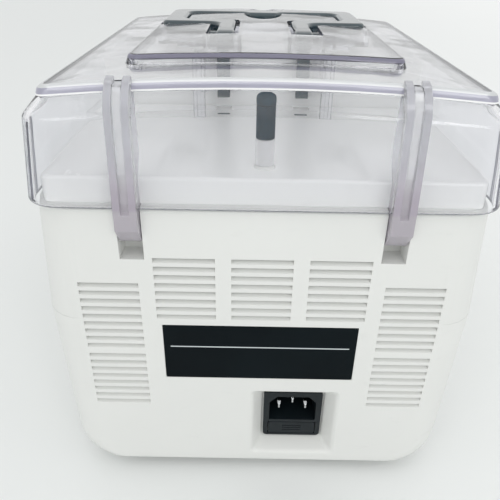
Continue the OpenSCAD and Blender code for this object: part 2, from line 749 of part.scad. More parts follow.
module carry_handle() {
    color(teal) difference() {
        union() {
            difference() {
                translate([0, 0, hand_z0]) linear_extrude(handle_t) handle_2d(0, pivot_y + 2);
                for (s = [-1, 1]) block([s * foot_x - handle_foot_w, pivot_y - 3, hand_z0 - 1],
                    [s * foot_x + handle_foot_w, pivot_y + heel + 1, hand_z0 + handle_t + 1]);
            }
            for (s = [-1, 1]) along_x(s * foot_x, handle_foot_w) polygon(concat(
                [[pivot_y - 3.2, pivot_z - 4]],
                cam_points([pivot_y, pivot_z], cam_r, latch_drop, 270, 1),
                [[pivot_y + heel, pivot_z + 3], [pivot_y + heel - 1.5, hand_z0 + handle_t],
                    [pivot_y - 3.2, hand_z0 + handle_t]]));
        }
        for (s = [-1, 1]) rod_x([s * foot_x, pivot_y, pivot_z], handle_pin_r + run, handle_foot_w + 2);
    }
}

module handle_pins() {
    color(steel) for (s = [-1, 1])
        rod_x([s * foot_x, pivot_y, pivot_z], handle_pin_r, handle_foot_w + 2 * well_gap + 2 * well_wall);
}

module latch_tongues() {
    v = tongue_t / 2;
    color(teal) for (s = [-1, 1]) along_x(s * foot_x, tongue_w) polygon([
        [tongue_y - v, tongue_end], [tongue_y + v, tongue_end], [tongue_y + v, tongue_top - v - 1],
        [tongue_y, tongue_top], [tongue_y - v, tongue_top - v - 1]]);
}

guide_z0 = deck_z + 11;
guide_z1 = pivot_z - heel - 2;
post_w = 6;
module lid_posts() {
    in_w = tongue_w / 2 + gap;
    in_d = tongue_t / 2 + gap;
    x1 = foot_out + 2.8;
    color(clear) for (s = [-1, 1]) difference() {
        union() {
            block([s * (x1 + post_w / 2) - post_w / 2, pivot_y + 6, deck_z + gap],
                [s * (x1 + post_w / 2) + post_w / 2, pivot_y + 12, well_z - well_wall]);
            block([min(s * (foot_x - in_w - 1.6), s * (x1 + 2)), tongue_y - in_d - 1.6, guide_z0],
                [max(s * (foot_x - in_w - 1.6), s * (x1 + 2)), tongue_y + in_d + 4, guide_z1]);
        }
        block([s * foot_x - in_w, tongue_y - in_d, guide_z0 - 1],
            [s * foot_x + in_w, tongue_y + in_d, guide_z1 + 1]);
        block([s * (x1 + post_w / 2) - 1, pivot_y + 10, deck_z - 1],
            [s * (x1 + post_w / 2) + 1, pivot_y + 13, well_z + 1]);
    }
}

// ---- front panel ----

key_pitch = panel_w / 5;
key_w = 14;
key_h = 9;
key_y = -9;
window_w = 2 * key_pitch - 4;
window_h = 15;
window_y = 8;
plate_t = 2;
board_depth = 11;

function key_x(k) = (k - 1.5) * key_pitch;

module front_panel() {
    color(black) on_panel() difference() {
        slab(-panel_w / 2 + slip, -panel_h / 2 + slip, -plate_t, panel_w / 2 - slip,
            panel_h / 2 - slip, 0, 1);
        slab(-window_w / 2, window_y - window_h / 2, -plate_t - 1, window_w / 2,
            window_y + window_h / 2, 1, 1);
        for (k = [0:3]) slab(key_x(k) - key_w / 2 - 0.4, key_y - key_h / 2 - 0.4, -plate_t - 1,
            key_x(k) + key_w / 2 + 0.4, key_y + key_h / 2 + 0.4, 1, 1.5);
    }
}

module display_window() {
    color([0.3, 0.05, 0.06, 0.6]) on_panel() slab(-window_w / 2 + slip, window_y - window_h / 2 + slip,
        -plate_t, window_w / 2 - slip, window_y + window_h / 2 - slip, -0.2, 0.9);
}

module display_module() {
    color(black) on_panel() slab(-window_w / 2 + 2, window_y - window_h / 2 + 1, -board_depth,
        window_w / 2 - 2, window_y + window_h / 2 - 1, -plate_t - 0.5, 0.5);
}

module display_board() {
    color(green) on_panel() union() {
        block([-panel_w / 2 + 10, -panel_h / 2 + 4, -board_depth - 1.6],
            [panel_w / 2 - 10, panel_h / 2 - 4, -board_depth]);
        for (s = [-1, 1]) for (t = [-1, 1])
            translate([s * (panel_w / 2 - 14), t * (panel_h / 2 - 8), -board_depth - 0.5])
                cylinder(r = 2.5, h = board_depth - plate_t + 0.5, $fn = 32);
    }
}

// A key's cap with the flange that keeps it behind the panel
module key_cap(k, c) {
    color(c) on_panel() union() {
        slab(key_x(k) - key_w / 2, key_y - key_h / 2, -plate_t - 1, key_x(k) + key_w / 2,
            key_y + key_h / 2, 2, 1.5);
        slab(key_x(k) - key_w / 2 - 1.4, key_y - key_h / 2 - 1.4, -plate_t - 1.5,
            key_x(k) + key_w / 2 + 1.4, key_y + key_h / 2 + 1.4, -plate_t - 0.1, 1.5);
        translate([key_x(k), key_y, key_foot]) cylinder(r = 1.6, h = 4, $fn = 32);
    }
}
key_foot = -plate_t - 4;

module feed_key() {
    key_cap(0, [0.8, 0.8, 0.8]);
}
module cut_key() {
    key_cap(1, [0.8, 0.8, 0.8]);
}
module mode_key() {
    key_cap(2, [0.8, 0.8, 0.8]);
}
module reset_key() {
    key_cap(3, [0.7, 0.2, 0.15]);
}

module key_switches() {
    color(black) on_panel() for (k = [0:3]) slab(key_x(k) - 3, key_y - 3, -board_depth,
        key_x(k) + 3, key_y + 3, key_foot - key_travel - 0.1, 0.4);
}

// ---- power switch ----

module switch_frame() {
    color(black) difference() {
        union() {
            switch_box(switch_rim, switch_x, switch_x + 2);
            switch_box(-slip, switch_x - 16, switch_x + 1);
        }
        switch_box(-1.5, switch_x - 8, switch_x + 3);
        translate([switch_x - rocker_in, switch_y, switch_z])
            cylinder(r = rocker_axle_r + run, h = switch_h - 1, center = true, $fn = 32);
    }
}

module power_rocker() {
    l = switch_w / 2 - 3;
    color(black) translate([switch_x - rocker_in, switch_y, switch_z - switch_h / 2 + 2]) union() {
        linear_extrude(switch_h - 4) polygon([[-2.5, -4], [-2.5, 4], [0.6, l], [2.3, l],
            [2, 0], [4.3, -l], [2.4, -l]]);
        translate([0, 0, -1.2]) cylinder(r = rocker_axle_r, h = switch_h - 1.6, $fn = 32);
    }
}

// ---- mouth and tape track ----

tape_y = front_y + 48;
plate_gap = 28;
chassis_t = 2;
track_w = plate_gap - 2 * gap;
plate_y0 = tape_y - plate_gap / 2 - chassis_t;
plate_y1 = tape_y + plate_gap / 2;
mouth_hw = mouth_w / 2;
mouth_top = mouth_z + mouth_h;
liner_t = 2;
notes_l = 77;

module mouth_ring(grow, y0, y1) {
    block([-mouth_hw - grow, y0, mouth_z - grow], [mouth_hw + grow, y1, mouth_top + grow]);
}

module mouth_collar() {
    color(black) difference() {
        union() {
            mouth_ring(wall - slip, front_y, plate_y0 + chassis_t + gap);
            mouth_ring(2 * wall, front_y + wall + slip, front_y + wall + 2);
        }
        mouth_ring(0, front_y - 1, plate_y1);
    }
}

module mouth_tunnel() {
    color(steel) difference() {
        mouth_ring(wall - slip, plate_y1, tape_y + notes_l + liner_t);
        mouth_ring(0, plate_y1 - 1, tape_y + notes_l);
    }
}

track_out = 9;
module tape_track() {
    color(teal) difference() {
        mouth_ring(track_out, tape_y - track_w / 2, tape_y + track_w / 2);
        mouth_ring(0.5, tape_y - track_w, tape_y + track_w);
        mouth_ring(3.5, tape_y - tape_w / 2 - gap, tape_y + tape_w / 2 + gap);
        block([-head_x - gap, tape_y - track_w, mouth_z - 20],
            [head_x + gap, tape_y + track_w, mouth_z + 2]);
        block([feed_x - 12, tape_y - tape_w / 2 - gap, mouth_top + 2],
            [feed_x - 9.5, tape_y + tape_w / 2 + gap, mouth_top + 20]);
    }
}

// ---- chassis ----

head_x = 34;
cam_y = tape_y;
cam_z = mouth_z - 28;
gear_teeth = 60;
pinion_teeth = 15;
feed_teeth = 40;
feed_pinion_teeth = 14;
head_motor_y = cam_y + (gear_teeth + pinion_teeth) * gear_m / 2;
feed_x = 68;
feed_z = mouth_top + 22;
feed_motor_x = feed_x - (feed_teeth + feed_pinion_teeth) * gear_m / 2;
roll_gap = 0.3;
pinch_x = feed_x - feed_r - pinch_r - roll_gap;
pinch_pivot_x = pinch_x - 19;
chassis_hw = 60;
chassis_z1 = feed_z + 12;
riser_x = 16;
riser_w = 72;
floor_z = base_z + sheet_t;

module chassis_plate(y) {
    difference() {
        from_rear(0, 0, y, y + chassis_t) union() {
            translate([-chassis_hw, floor_z]) square([2 * chassis_hw, mouth_top + 10 - floor_z]);
            translate([riser_x, mouth_top]) square([riser_w, chassis_z1 - mouth_top]);
        }
        mouth_ring(wall + gap, y - 1, y + chassis_t + 1);
        rod_y([feed_x, y, feed_z], shaft_d / 2 + run, 12);
    }
}

module chassis_plates() {
    color(steel) union() {
        rod_y([pinch_pivot_x, tape_y, feed_z], 2, plate_gap + 2 * chassis_t);
        chassis_plate(plate_y0);
        chassis_plate(plate_y1);
    }
}

bracket_x = 50;
bracket_t = 3;
bush_r = 5;
module shaft_brackets() {
    color(steel) for (s = [-1, 1]) difference() {
        block([s * bracket_x - bracket_t / 2, plate_y0 + chassis_t, floor_z],
            [s * bracket_x + bracket_t / 2, plate_y1, cam_z + 12]);
        rod_x([s * bracket_x, cam_y, cam_z], bush_r + slip, bracket_t + 2);
    }
}

module bearings() {
    color(copper) for (s = [-1, 1]) difference() {
        union() {
            rod_x([s * bracket_x, cam_y, cam_z], bush_r, bracket_t);
            rod_x([s * (bracket_x - bracket_t / 2 - 0.5), cam_y, cam_z], bush_r + 1.5, 1);
        }
        rod_x([s * bracket_x, cam_y, cam_z], shaft_d / 2 + run, bracket_t + 8);
    }
}

block_w = 14;
block_d = 20;
block_pitch = 20;
block_z0 = mouth_z - 14;
block_z1 = mouth_z - 2.7;
blade_x = block_pitch / 2;
blade_t = 1;
blade_d = 22;

module head_block() {
    color(steel) difference() {
        block([-head_x, plate_y0 + chassis_t, block_z0], [head_x, plate_y1, block_z1]);
        for (k = [-1:1]) block([k * block_pitch - block_w / 2 - gap, tape_y - block_d / 2 - gap,
            block_z0 - 1], [k * block_pitch + block_w / 2 + gap, tape_y + block_d / 2 + gap,
            block_z1 + 1]);
        block([blade_x - blade_t / 2 - gap, tape_y - blade_d / 2 - gap, block_z0 - 1],
            [blade_x + blade_t / 2 + gap, tape_y + blade_d / 2 + gap, block_z1 + 1]);
    }
}

cam_w = 7;
press_cam_x = -2;
blade_cam_w = 3;
cam_base = 6;

module cam_disc(x, w, lift) {
    along_x(x, w) difference() {
        polygon(concat(
            [for (a = [0:6:90]) let (q = cam_base + lift * a / 90)
                [cam_y + q * sin(a), cam_z + q * cos(a)]],
            [for (a = [100:10:360]) let (q = cam_base + (a < 110 ? lift : 0))
                [cam_y + q * sin(a), cam_z + q * cos(a)]]));
        translate([cam_y, cam_z]) circle(r = shaft_d / 2 - 0.4, $fn = 32);
    }
}

module cam_shaft() {
    color(steel) union() {
        rod_x([4, cam_y, cam_z], shaft_d / 2, 2 * bracket_x + 24);
        for (s = [-1, 1]) cam_disc(s * block_pitch, cam_w, clamp_lift);
        cam_disc(press_cam_x, cam_w, press_lift);
        cam_disc(blade_x, blade_cam_w, press_lift);
    }
}

// A block with a stem that ends in an edge above its cam
module follower(x, w, d, z1, stem_x, stem_w) {
    tip = cam_z + cam_base + gap;
    union() {
        block([x - w / 2, tape_y - d / 2, tip + 6], [x + w / 2, tape_y + d / 2, z1]);
        along_x(stem_x, stem_w) polygon([[tape_y, tip], [tape_y + 3, tip + 3.6],
            [tape_y + 3, tip + 7], [tape_y - 3, tip + 7], [tape_y - 3, tip + 3.6]]);
    }
}

anvil_z = mouth_z + 0.6;
heater_t = 2;

module clamp_blocks() {
    color(steel) for (s = [-1, 1]) follower(s * block_pitch, block_w, block_d,
        anvil_z - gap - clamp_lift, s * block_pitch, cam_w - 1);
}

module press_block() {
    color(teal) follower(0, block_w, block_d, anvil_z - gap - press_lift - heater_t,
        press_cam_x, cam_w - 1);
}

module heater_plate() {
    z = anvil_z - gap - press_lift;
    color(copper) block([-block_w / 2, tape_y - block_d / 2, z - heater_t],
        [block_w / 2, tape_y + block_d / 2, z]);
}

module cutter_blade() {
    color(steel) follower(blade_x, blade_t, blade_d, anvil_z - gap - press_lift, blade_x, blade_t);
}

module anvil() {
    color(steel) union() {
        block([4 - head_x, tape_y - plate_gap / 2 + 1, anvil_z],
            [head_x - 4, plate_y1 - 0.5, anvil_z + 1]);
        block([-8, plate_y1 - 0.5, anvil_z], [8, plate_y1 + 12, anvil_z + 1]);
        block([-8, plate_y1 + 2, mouth_z], [8, plate_y1 + 12, anvil_z + 0.5]);
    }
}

// ---- gears and motors ----

// A spur gear's outline with straight-sided teeth and play between them
module gear_2d(teeth, turn) {
    rp = teeth * gear_m / 2;
    ra = rp + 0.85 * gear_m;
    rr = rp - 1.15 * gear_m;
    p = 360 / teeth;
    polygon([for (k = [0:teeth - 1]) for (v = [[-0.30, rr], [-0.12, ra], [0.12, ra], [0.30, rr]])
        let (a = turn + (k + v[0]) * p) [v[1] * cos(a), v[1] * sin(a)]]);
}

cam_gear_x = 64;
gear_w = 5;
module cam_gear() {
    color([0.9, 0.88, 0.8]) along_x(cam_gear_x, gear_w) difference() {
        translate([cam_y, cam_z]) gear_2d(gear_teeth, 0);
        translate([cam_y, cam_z]) circle(r = shaft_d / 2 + slip, $fn = 32);
    }
}

motor_r = 13;
motor_l = 40;
motor_shaft_r = 1.5;
module head_pinion() {
    color(copper) union() {
        along_x(cam_gear_x, gear_w + 1) translate([head_motor_y, cam_z])
            gear_2d(pinion_teeth, 180 / pinion_teeth + 180);
        rod_x([cam_gear_x - 4, head_motor_y, cam_z], motor_shaft_r, 12);
    }
}

head_mount_x = 57;
module head_motor() {
    color(steel) difference() {
        rod_x([head_mount_x - 1 - motor_l / 2, head_motor_y, cam_z], motor_r, motor_l);
        rod_x([head_mount_x, head_motor_y, cam_z], motor_shaft_r + run, 12);
    }
}

feed_gear_y = plate_y1 + chassis_t + 4;
module feed_gear() {
    color([0.9, 0.88, 0.8]) from_rear(feed_x, feed_z, feed_gear_y - gear_w / 2, feed_gear_y + gear_w / 2)
        difference() {
            gear_2d(feed_teeth, 180 / feed_teeth);
            circle(r = shaft_d / 2 + slip, $fn = 32);
        }
}

feed_mount_y = feed_gear_y + gear_w / 2 + 1.5;
module feed_pinion() {
    color(copper) union() {
        from_rear(feed_motor_x, feed_z, feed_gear_y - gear_w / 2 - 0.5, feed_gear_y + gear_w / 2 + 0.5)
            gear_2d(feed_pinion_teeth, 0);
        rod_y([feed_motor_x, feed_mount_y + 2, feed_z], motor_shaft_r, 12);
    }
}

module feed_motor() {
    y0 = feed_mount_y + chassis_t;
    color(steel) difference() {
        rod_y([feed_motor_x, y0 + motor_l / 2, feed_z], motor_r, motor_l);
        rod_y([feed_motor_x, y0, feed_z], motor_shaft_r + run, motor_r);
    }
}

module motor_mounts() {
    y0 = feed_mount_y;
    color(steel) union() {
        difference() {
            block([head_mount_x - 1, plate_y1 + chassis_t + 2, floor_z],
                [head_mount_x + 1, head_motor_y + motor_r + 2, cam_z + motor_r + 2]);
            rod_x([head_mount_x, head_motor_y, cam_z], 4, 12);
        }
        block([head_mount_x - 14, head_motor_y - 10, floor_z],
            [head_mount_x, head_motor_y + 10, floor_z + 1.5]);
        difference() {
            block([feed_motor_x - motor_r - 5, y0, mouth_top + 3],
                [feed_x + 20, y0 + chassis_t, feed_z + motor_r + 1]);
            rod_y([feed_motor_x, y0, feed_z], 4, 12);
            rod_y([feed_x, y0, feed_z], shaft_d / 2 + 2, 12);
        }
        for (p = [[feed_x + 18, feed_z + 9], [feed_x + 18, feed_z - 14], [feed_motor_x - 15, feed_z - 14]])
            rod_y([p[0], (plate_y1 + chassis_t + y0) / 2, p[1]], 2.5, y0 - plate_y1 - chassis_t);
    }
}

roller_l = plate_gap - 2;
module feed_roller() {
    color(teal) union() {
        rod_y([feed_x, tape_y, feed_z], feed_r, roller_l);
        rod_y([feed_x, tape_y + 3, feed_z], shaft_d / 2, plate_gap + 18);
    }
}

fork_t = 2;
module pinch_arm() {
    color(steel) difference() {
        union() {
            for (s = [-1, 1]) from_rear(pinch_pivot_x, feed_z, tape_y + s * (roller_l / 2 - 1) - fork_t / 2,
                tape_y + s * (roller_l / 2 - 1) + fork_t / 2)
                polygon(round_path([[-4, -4, 3], [pinch_x - pinch_pivot_x + 4, -4, 3],
                    [pinch_x - pinch_pivot_x + 4, 4, 3], [-4, 4, 3]], 4));
            rod_y([pinch_pivot_x, tape_y, feed_z], 4, roller_l - 2);
        }
        rod_y([pinch_pivot_x, tape_y, feed_z], 2 + run, plate_gap);
        rod_y([pinch_x, tape_y, feed_z], 1.5 + run, plate_gap);
    }
}

module pinch_roller() {
    color(black) union() {
        rod_y([pinch_x, tape_y, feed_z], pinch_r, roller_l - 2 - 2 * fork_t);
        rod_y([pinch_x, tape_y, feed_z], 1.5, roller_l - 0.2);
    }
}

// ---- power and control ----

board_mid = [-30, rear_y - 51.5];
board_w = 80;
board_l = 56;
board_up = 8;
board_t = 1.6;

module main_board() {
    z = floor_z + board_up;
    color(green) translate([board_mid[0], board_mid[1], z]) union() {
        translate([-board_w / 2, -board_l / 2, 0]) cube([board_w, board_l, board_t]);
        for (s = [-1, 1]) for (t = [-1, 1])
            translate([s * (board_w / 2 - 4), t * (board_l / 2 - 4), -board_up])
                cylinder(r = 2.5, h = board_up + 0.5, $fn = 32);
        translate([-30, -20, board_t / 2]) cube([14, 26, 6]);
        translate([-6, -16, board_t / 2]) cube([12, 12, 2.5]);
    }
}

core_w = 44;
core_l = 38;
core_h = 30;
coil_in = 8;
coil_out = 6;
core_mid = [core_w + coil_in, base_y1 - core_l + 9];

module transformer() {
    color(copper) translate([core_mid[0], core_mid[1], floor_z]) union() {
        translate([-core_w / 2, -core_l / 2, 0]) cube([core_w, core_l, core_h]);
        translate([coil_in - core_w / 2, -core_l / 2 - coil_out, coil_in - 1])
            cube([core_w - 2 * coil_in, core_l + 2 * coil_out, core_h - 2 * coil_in + 2]);
    }
}

housing();
base_pan();
feet();
base_screws();
top_deck();
head_cover();
rating_plate();
inlet_surround();
inlet_housing();
inlet_pins();
fuse_drawer();
fuse();
hinge_pins();
post_rod();
post_tube();
guide_roller();
post_cap();
lid_shell();
handle_tray();
hinge_arms();
lid_posts();
handle_pins();
carry_handle();
latch_tongues();
front_panel();
display_window();
display_module();
display_board();
feed_key();
cut_key();
mode_key();
reset_key();
key_switches();
switch_frame();
power_rocker();
mouth_collar();
mouth_tunnel();
tape_track();
anvil();
chassis_plates();
shaft_brackets();
bearings();
head_block();
cam_shaft();
cam_gear();
clamp_blocks();
press_block();
heater_plate();
cutter_blade();
head_motor();
head_pinion();
feed_roller();
feed_gear();
feed_motor();
feed_pinion();
motor_mounts();
pinch_arm();
pinch_roller();
main_board();
transformer();
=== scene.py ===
import json
import math

import bmesh
import bpy
from mathutils import Matrix, Vector


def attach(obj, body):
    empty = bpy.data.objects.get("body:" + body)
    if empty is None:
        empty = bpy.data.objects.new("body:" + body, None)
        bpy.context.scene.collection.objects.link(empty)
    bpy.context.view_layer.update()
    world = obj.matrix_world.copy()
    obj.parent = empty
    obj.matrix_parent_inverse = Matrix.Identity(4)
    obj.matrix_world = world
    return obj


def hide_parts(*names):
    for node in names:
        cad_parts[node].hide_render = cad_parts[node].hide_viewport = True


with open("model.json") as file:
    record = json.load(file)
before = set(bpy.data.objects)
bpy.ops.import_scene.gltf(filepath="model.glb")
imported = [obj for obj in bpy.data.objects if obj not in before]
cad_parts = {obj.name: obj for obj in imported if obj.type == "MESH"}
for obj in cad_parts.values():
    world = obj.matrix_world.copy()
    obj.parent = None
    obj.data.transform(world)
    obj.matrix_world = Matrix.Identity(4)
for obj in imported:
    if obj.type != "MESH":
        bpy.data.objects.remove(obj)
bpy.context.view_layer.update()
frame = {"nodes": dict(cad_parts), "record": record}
cad = frame["nodes"]
print("frame loaded:", len(cad), "nodes")


# a Wire holds one socket of a node tree, and arithmetic on wires adds Math nodes
class Wire:
    def __init__(self, finish, socket):
        self.finish, self.socket = finish, socket

    def maths(self, kind, *values):
        return self.finish.node("ShaderNodeMath", {"operation": kind}, values)

    def __add__(self, other):
        return self.maths("ADD", self, other)

    def __sub__(self, other):
        return self.maths("SUBTRACT", self, other)

    def __rsub__(self, other):
        return self.maths("SUBTRACT", other, self)

    def __mul__(self, other):
        return self.maths("MULTIPLY", self, other)

    def __abs__(self):
        return self.maths("ABSOLUTE", self)

    def ramp(self, low, high, start=0.0, end=1.0):  # a smooth step from one value to another
        return self.finish.node("ShaderNodeMapRange", {"interpolation_type": "SMOOTHSTEP"},
                                (self, low, high, start, end))

    __radd__ = __add__
    __rmul__ = __mul__


# the node tree of one material or world; patterns read Object coordinates, in metres
class Finish:
    def __init__(self, owner):
        owner.use_nodes = True
        self.owner, self.tree = owner, owner.node_tree
        self.tree.nodes.clear()

    def node(self, kind, settings, sockets, output=0):
        made = self.tree.nodes.new(kind)
        for name, value in settings.items():
            setattr(made, name, value)
        for key, value in (sockets.items() if isinstance(sockets, dict) else enumerate(sockets)):
            if isinstance(value, Wire):
                self.tree.links.new(value.socket, made.inputs[key])
            else:
                made.inputs[key].default_value = value
        return Wire(self, made.outputs[output]) if made.outputs else None

    def place(self, scale=(1.0, 1.0, 1.0)):
        spot = self.node("ShaderNodeTexCoord", {}, {}, "Object")
        return self.node("ShaderNodeMapping", {}, {"Vector": spot, "Scale": scale})

    def axis(self, name):
        return self.node("ShaderNodeSeparateXYZ", {}, (self.place(),), name)

    def noise(self, scale, detail=3.0, rough=0.5, along=(1.0, 1.0, 1.0)):
        return self.node("ShaderNodeTexNoise", {}, {"Vector": self.place(along), "Scale": scale,
                                                    "Detail": detail, "Roughness": rough})

    def cells(self, scale, output=0):
        return self.node("ShaderNodeTexVoronoi", {}, {"Vector": self.place(), "Scale": scale}, output)

    def level(self, colour):  # one channel of a grey pattern
        return self.node("ShaderNodeSeparateColor", {}, (colour,))

    def mix(self, factor, low, high):
        low, high = [tone(c) if isinstance(c, tuple) else c for c in (low, high)]
        return self.node("ShaderNodeMix", {"data_type": "RGBA"}, {0: factor, 6: low, 7: high}, 2)

    def bumps(self, *layers):  # pairs of a height and its depth in metres, laid over each other
        sockets = {}
        for height, depth in layers:
            sockets.update({"Height": height, "Distance": depth, "Strength": 1.0})
            sockets["Normal"] = self.node("ShaderNodeBump", {}, sockets)
        return sockets["Normal"]

    def skin(self, sockets):
        return self.node("ShaderNodeBsdfPrincipled", {}, sockets)

    def done(self, surface, volume=None):
        ends = {"Surface": surface, "Volume": volume} if volume else {"Surface": surface}
        self.node("ShaderNodeOutputMaterial", {}, ends)
        return self.owner


def tone(c):  # a display colour 0-255 as a linear one
    return tuple(((v / 255 + 0.055) / 1.055) ** 2.4 if v > 10 else v / 255 / 12.92 for v in c) + (1.0,)


def darker(c, share):
    return tuple(v * (1 - share) for v in c)


def mouldedPlastic(name, colour, rough, grain, cloud, wear=0.06, seam=0.0, gloss=0.5):
    f = Finish(bpy.data.materials.new(name))
    patches = f.noise(9.0, 4.0, 0.55).ramp(0.35, 0.7)
    scuffs = f.noise(60.0, 5.0, 0.7, (1.0, 0.35, 2.2)).ramp(0.56, 0.72)
    base = f.mix(patches, colour, darker(colour, cloud))
    base = f.mix(scuffs * wear, base, darker(colour, 0.2))
    layers = [(f.noise(14.0, 2.0), 0.00025), (f.noise(2600.0, 2.0, 0.6), grain)]
    if seam:  # the faint line where two halves of the mould met, on the sides only
        line = abs(f.axis("Z") - seam).ramp(0.0001, 0.0003, 1.0, 0.0) * abs(f.axis("X")).ramp(0.08, 0.09)
        base = f.mix(line * 0.25, base, darker(colour, 0.35))
        layers.append((line, -0.00006))
    return f.done(f.skin({"Base Color": base, "Roughness": patches * 0.06 + scuffs * 0.12 + rough,
                          "IOR": 1.52, "Specular IOR Level": gloss, "Normal": f.bumps(*layers)}))


bodyFinish = mouldedPlastic("whiteMoulding", (230, 231, 228), 0.38, 0.000012, 0.014, seam=0.102)
# the deck's white is painted brighter than the housing's: painted light that makes up for what the lid holds
# off it
deckFinish = mouldedPlastic("deckMouldingPaintedBright", (249, 250, 248), 0.12, 0.000003, 0.010, 0.02)
blackFinish = mouldedPlastic("blackMoulding", (26, 31, 34), 0.42, 0.00003, 0.25, 0.3)
bezelFinish = mouldedPlastic("inletMoulding", (22, 31, 36), 0.4, 0.00003, 0.2, 0.25, gloss=0.3)
greyKeyFinish = mouldedPlastic("greyKeys", (168, 170, 172), 0.45, 0.00002, 0.04)
redKeyFinish = mouldedPlastic("redKey", (176, 38, 30), 0.42, 0.00002, 0.06)
nylonFinish = mouldedPlastic("nylon", (226, 220, 200), 0.5, 0.00002, 0.05)


def clearPlastic(name, cloud, milkAndPaintTone, density=7.0, band=None, passes=0.72, fade=None):
    # clear moulding with a share of milky scatter; on the lid's and tray's edge strips the same share paints
    # shade and highlight. band (low, high, share, crown) adds a share between two heights that follow a
    # crown, and fade (low, high, tone, share) gives what lies below its own tone and adds a share there
    tint = (0.55, 0.54, 0.68, 1.0)
    f = Finish(bpy.data.materials.new(name))
    waves = f.bumps((f.noise(16.0, 2.0), 0.0005), (f.noise(70.0, 3.0, 0.5, (1.0, 0.3, 1.0)), 0.00003))
    dust = f.noise(40.0, 4.0, 0.6).ramp(0.55, 0.8)
    glass = f.skin({"Base Color": tone((251, 251, 253)), "Roughness": dust * 0.02 + 0.012, "IOR": 1.5,
                    "Transmission Weight": 1.0, "Normal": waves})
    share, milkAndPaintColour = dust * 0.02 + cloud, tone(milkAndPaintTone)
    if fade:
        low, high, lowTone, lowShare = fade
        upper = f.axis("Z").ramp(low, high)
        milkAndPaintColour, share = f.mix(upper, lowTone, milkAndPaintTone), share + upper.ramp(0.0, 1.0, lowShare, 0.0)
    milkAndPaintSkin = f.skin({"Base Color": milkAndPaintColour, "Roughness": 0.3, "Normal": waves})
    if band:
        low, high, extra, crown = band
        height = f.axis("Z") + f.axis("X") * f.axis("X") * crown
        share = share + height.ramp(low, low + 0.0003) * height.ramp(high - 0.0004, high, 1.0, 0.0) * extra
    both = f.node("ShaderNodeMixShader", {}, (share, glass, milkAndPaintSkin))
    # a share of the light passes straight through, so that what stands under the lid is lit
    passing = f.node("ShaderNodeBsdfTransparent", {}, {"Color": (passes, passes, passes, 1.0)})
    shadowRay = f.node("ShaderNodeLightPath", {}, {}, "Is Shadow Ray")
    both = f.node("ShaderNodeMixShader", {}, (shadowRay, both, passing))
    return f.done(both, f.node("ShaderNodeVolumeAbsorption", {}, {"Color": tint, "Density": density}))


lidFinish = clearPlastic("clearLid", 0.015, (222, 223, 230))
# a lilac band of painted shade along the lid's top edge, for that edge seen through the plastic's thickness
edgeShadeFinish = clearPlastic("lidEdgePaintedShade", 0.7, (190, 189, 206))
# a thin white line of painted highlight on the concave fillet under the band
highlightLineFinish = clearPlastic("lidPaintedHighlight", 0.92, (255, 255, 255))
# painted light: a pale milky tone on the top round, in place of the dark that its refraction shows
brimLightFinish = clearPlastic("lidBrimPaintedLight", 0.7, (237, 239, 240))
# upright lines of painted shade on the round of the lid's rear corners
cornerShadeFinish = clearPlastic("lidCornerPaintedShade", 0.32, (146, 150, 170))
# a thin dark line of painted shade along the rim, where the lid sits on the housing
rimShadeFinish = clearPlastic("lidRimPaintedShade", 0.5, (138, 142, 148))
armFinish = clearPlastic("clearArms", 0.3, (250, 251, 253), fade=(0.164, 0.18, (206, 200, 208), 0.3))
ribFinish = clearPlastic("armRibs", 0.42, (234, 234, 240), fade=(0.164, 0.19, (190, 182, 194), 0.3))
tubeFinish = clearPlastic("clearTube", 0.5, (255, 255, 255), 1.0, passes=0.8)


def handlePlastic():
    f = Finish(bpy.data.materials.new("handleTeal"))
    patches = f.noise(30.0, 4.0).ramp(0.3, 0.75)
    rub = f.noise(180.0, 5.0, 0.7, (0.25, 1.0, 1.0)).ramp(0.55, 0.75)
    return f.done(f.skin({"Base Color": f.mix(patches, (32, 50, 57), (44, 65, 73)), "IOR": 1.52,
                          "Roughness": patches * 0.05 + rub * 0.14 + 0.13,
                          "Coat Weight": 0.9, "Coat Roughness": 0.05,
                          "Normal": f.bumps((f.noise(1500.0, 2.0), 0.000008), (f.noise(25.0, 2.0), 0.0002))}))


def sleeveFelt(name, low, high, flecks):
    f = Finish(bpy.data.materials.new(name))
    fibres = f.noise(1500.0, 6.0, 0.75)
    specks = f.cells(1500.0).ramp(0.14, 0.30, 1.0, 0.0) * fibres.ramp(0.5, 0.66)
    base = f.mix(fibres.ramp(0.35, 0.65), low, high)
    return f.done(f.skin({"Base Color": f.mix(specks * flecks, base, (224, 232, 236)), "Roughness": 0.9,
                          "Specular IOR Level": 0.1,
                          "Normal": f.bumps((fibres, 0.0004), (f.noise(260.0, 2.0), 0.0005))}))


def plateFilm():
    # the bare plate carries one plain rule and nothing else
    ruleZ, ruleHalf, ruleThin = 0.0869, 0.0418, 0.00018
    f = Finish(bpy.data.materials.new("plateFilm"))
    grain, wide = f.noise(3200.0, 3.0, 0.6), f.noise(22.0, 3.0)
    across = abs(f.axis("Z") - ruleZ).ramp(ruleThin, 2 * ruleThin, 1.0, 0.0)
    rule = across * abs(f.axis("X")).ramp(ruleHalf, ruleHalf + 0.0003, 1.0, 0.0)
    base = f.mix(rule, f.mix(wide.ramp(0.3, 0.7), (5, 12, 16), (10, 20, 24)), (214, 222, 224))
    return f.done(f.skin({"Base Color": base, "Roughness": wide * 0.12 + grain * 0.1 + 0.36,
                          "Specular IOR Level": 0.08,
                          "Normal": f.bumps((grain, 0.00001), (rule, 0.00003))}))


def rubberBlack():
    f = Finish(bpy.data.materials.new("rubber"))
    dust = f.noise(120.0, 5.0, 0.7).ramp(0.45, 0.75)
    return f.done(f.skin({"Base Color": f.mix(dust * 0.5, (28, 29, 30), (92, 90, 86)),
                          "Roughness": dust * 0.15 + 0.68,
                          "Normal": f.bumps((f.noise(1800.0, 4.0, 0.7), 0.00006))}))


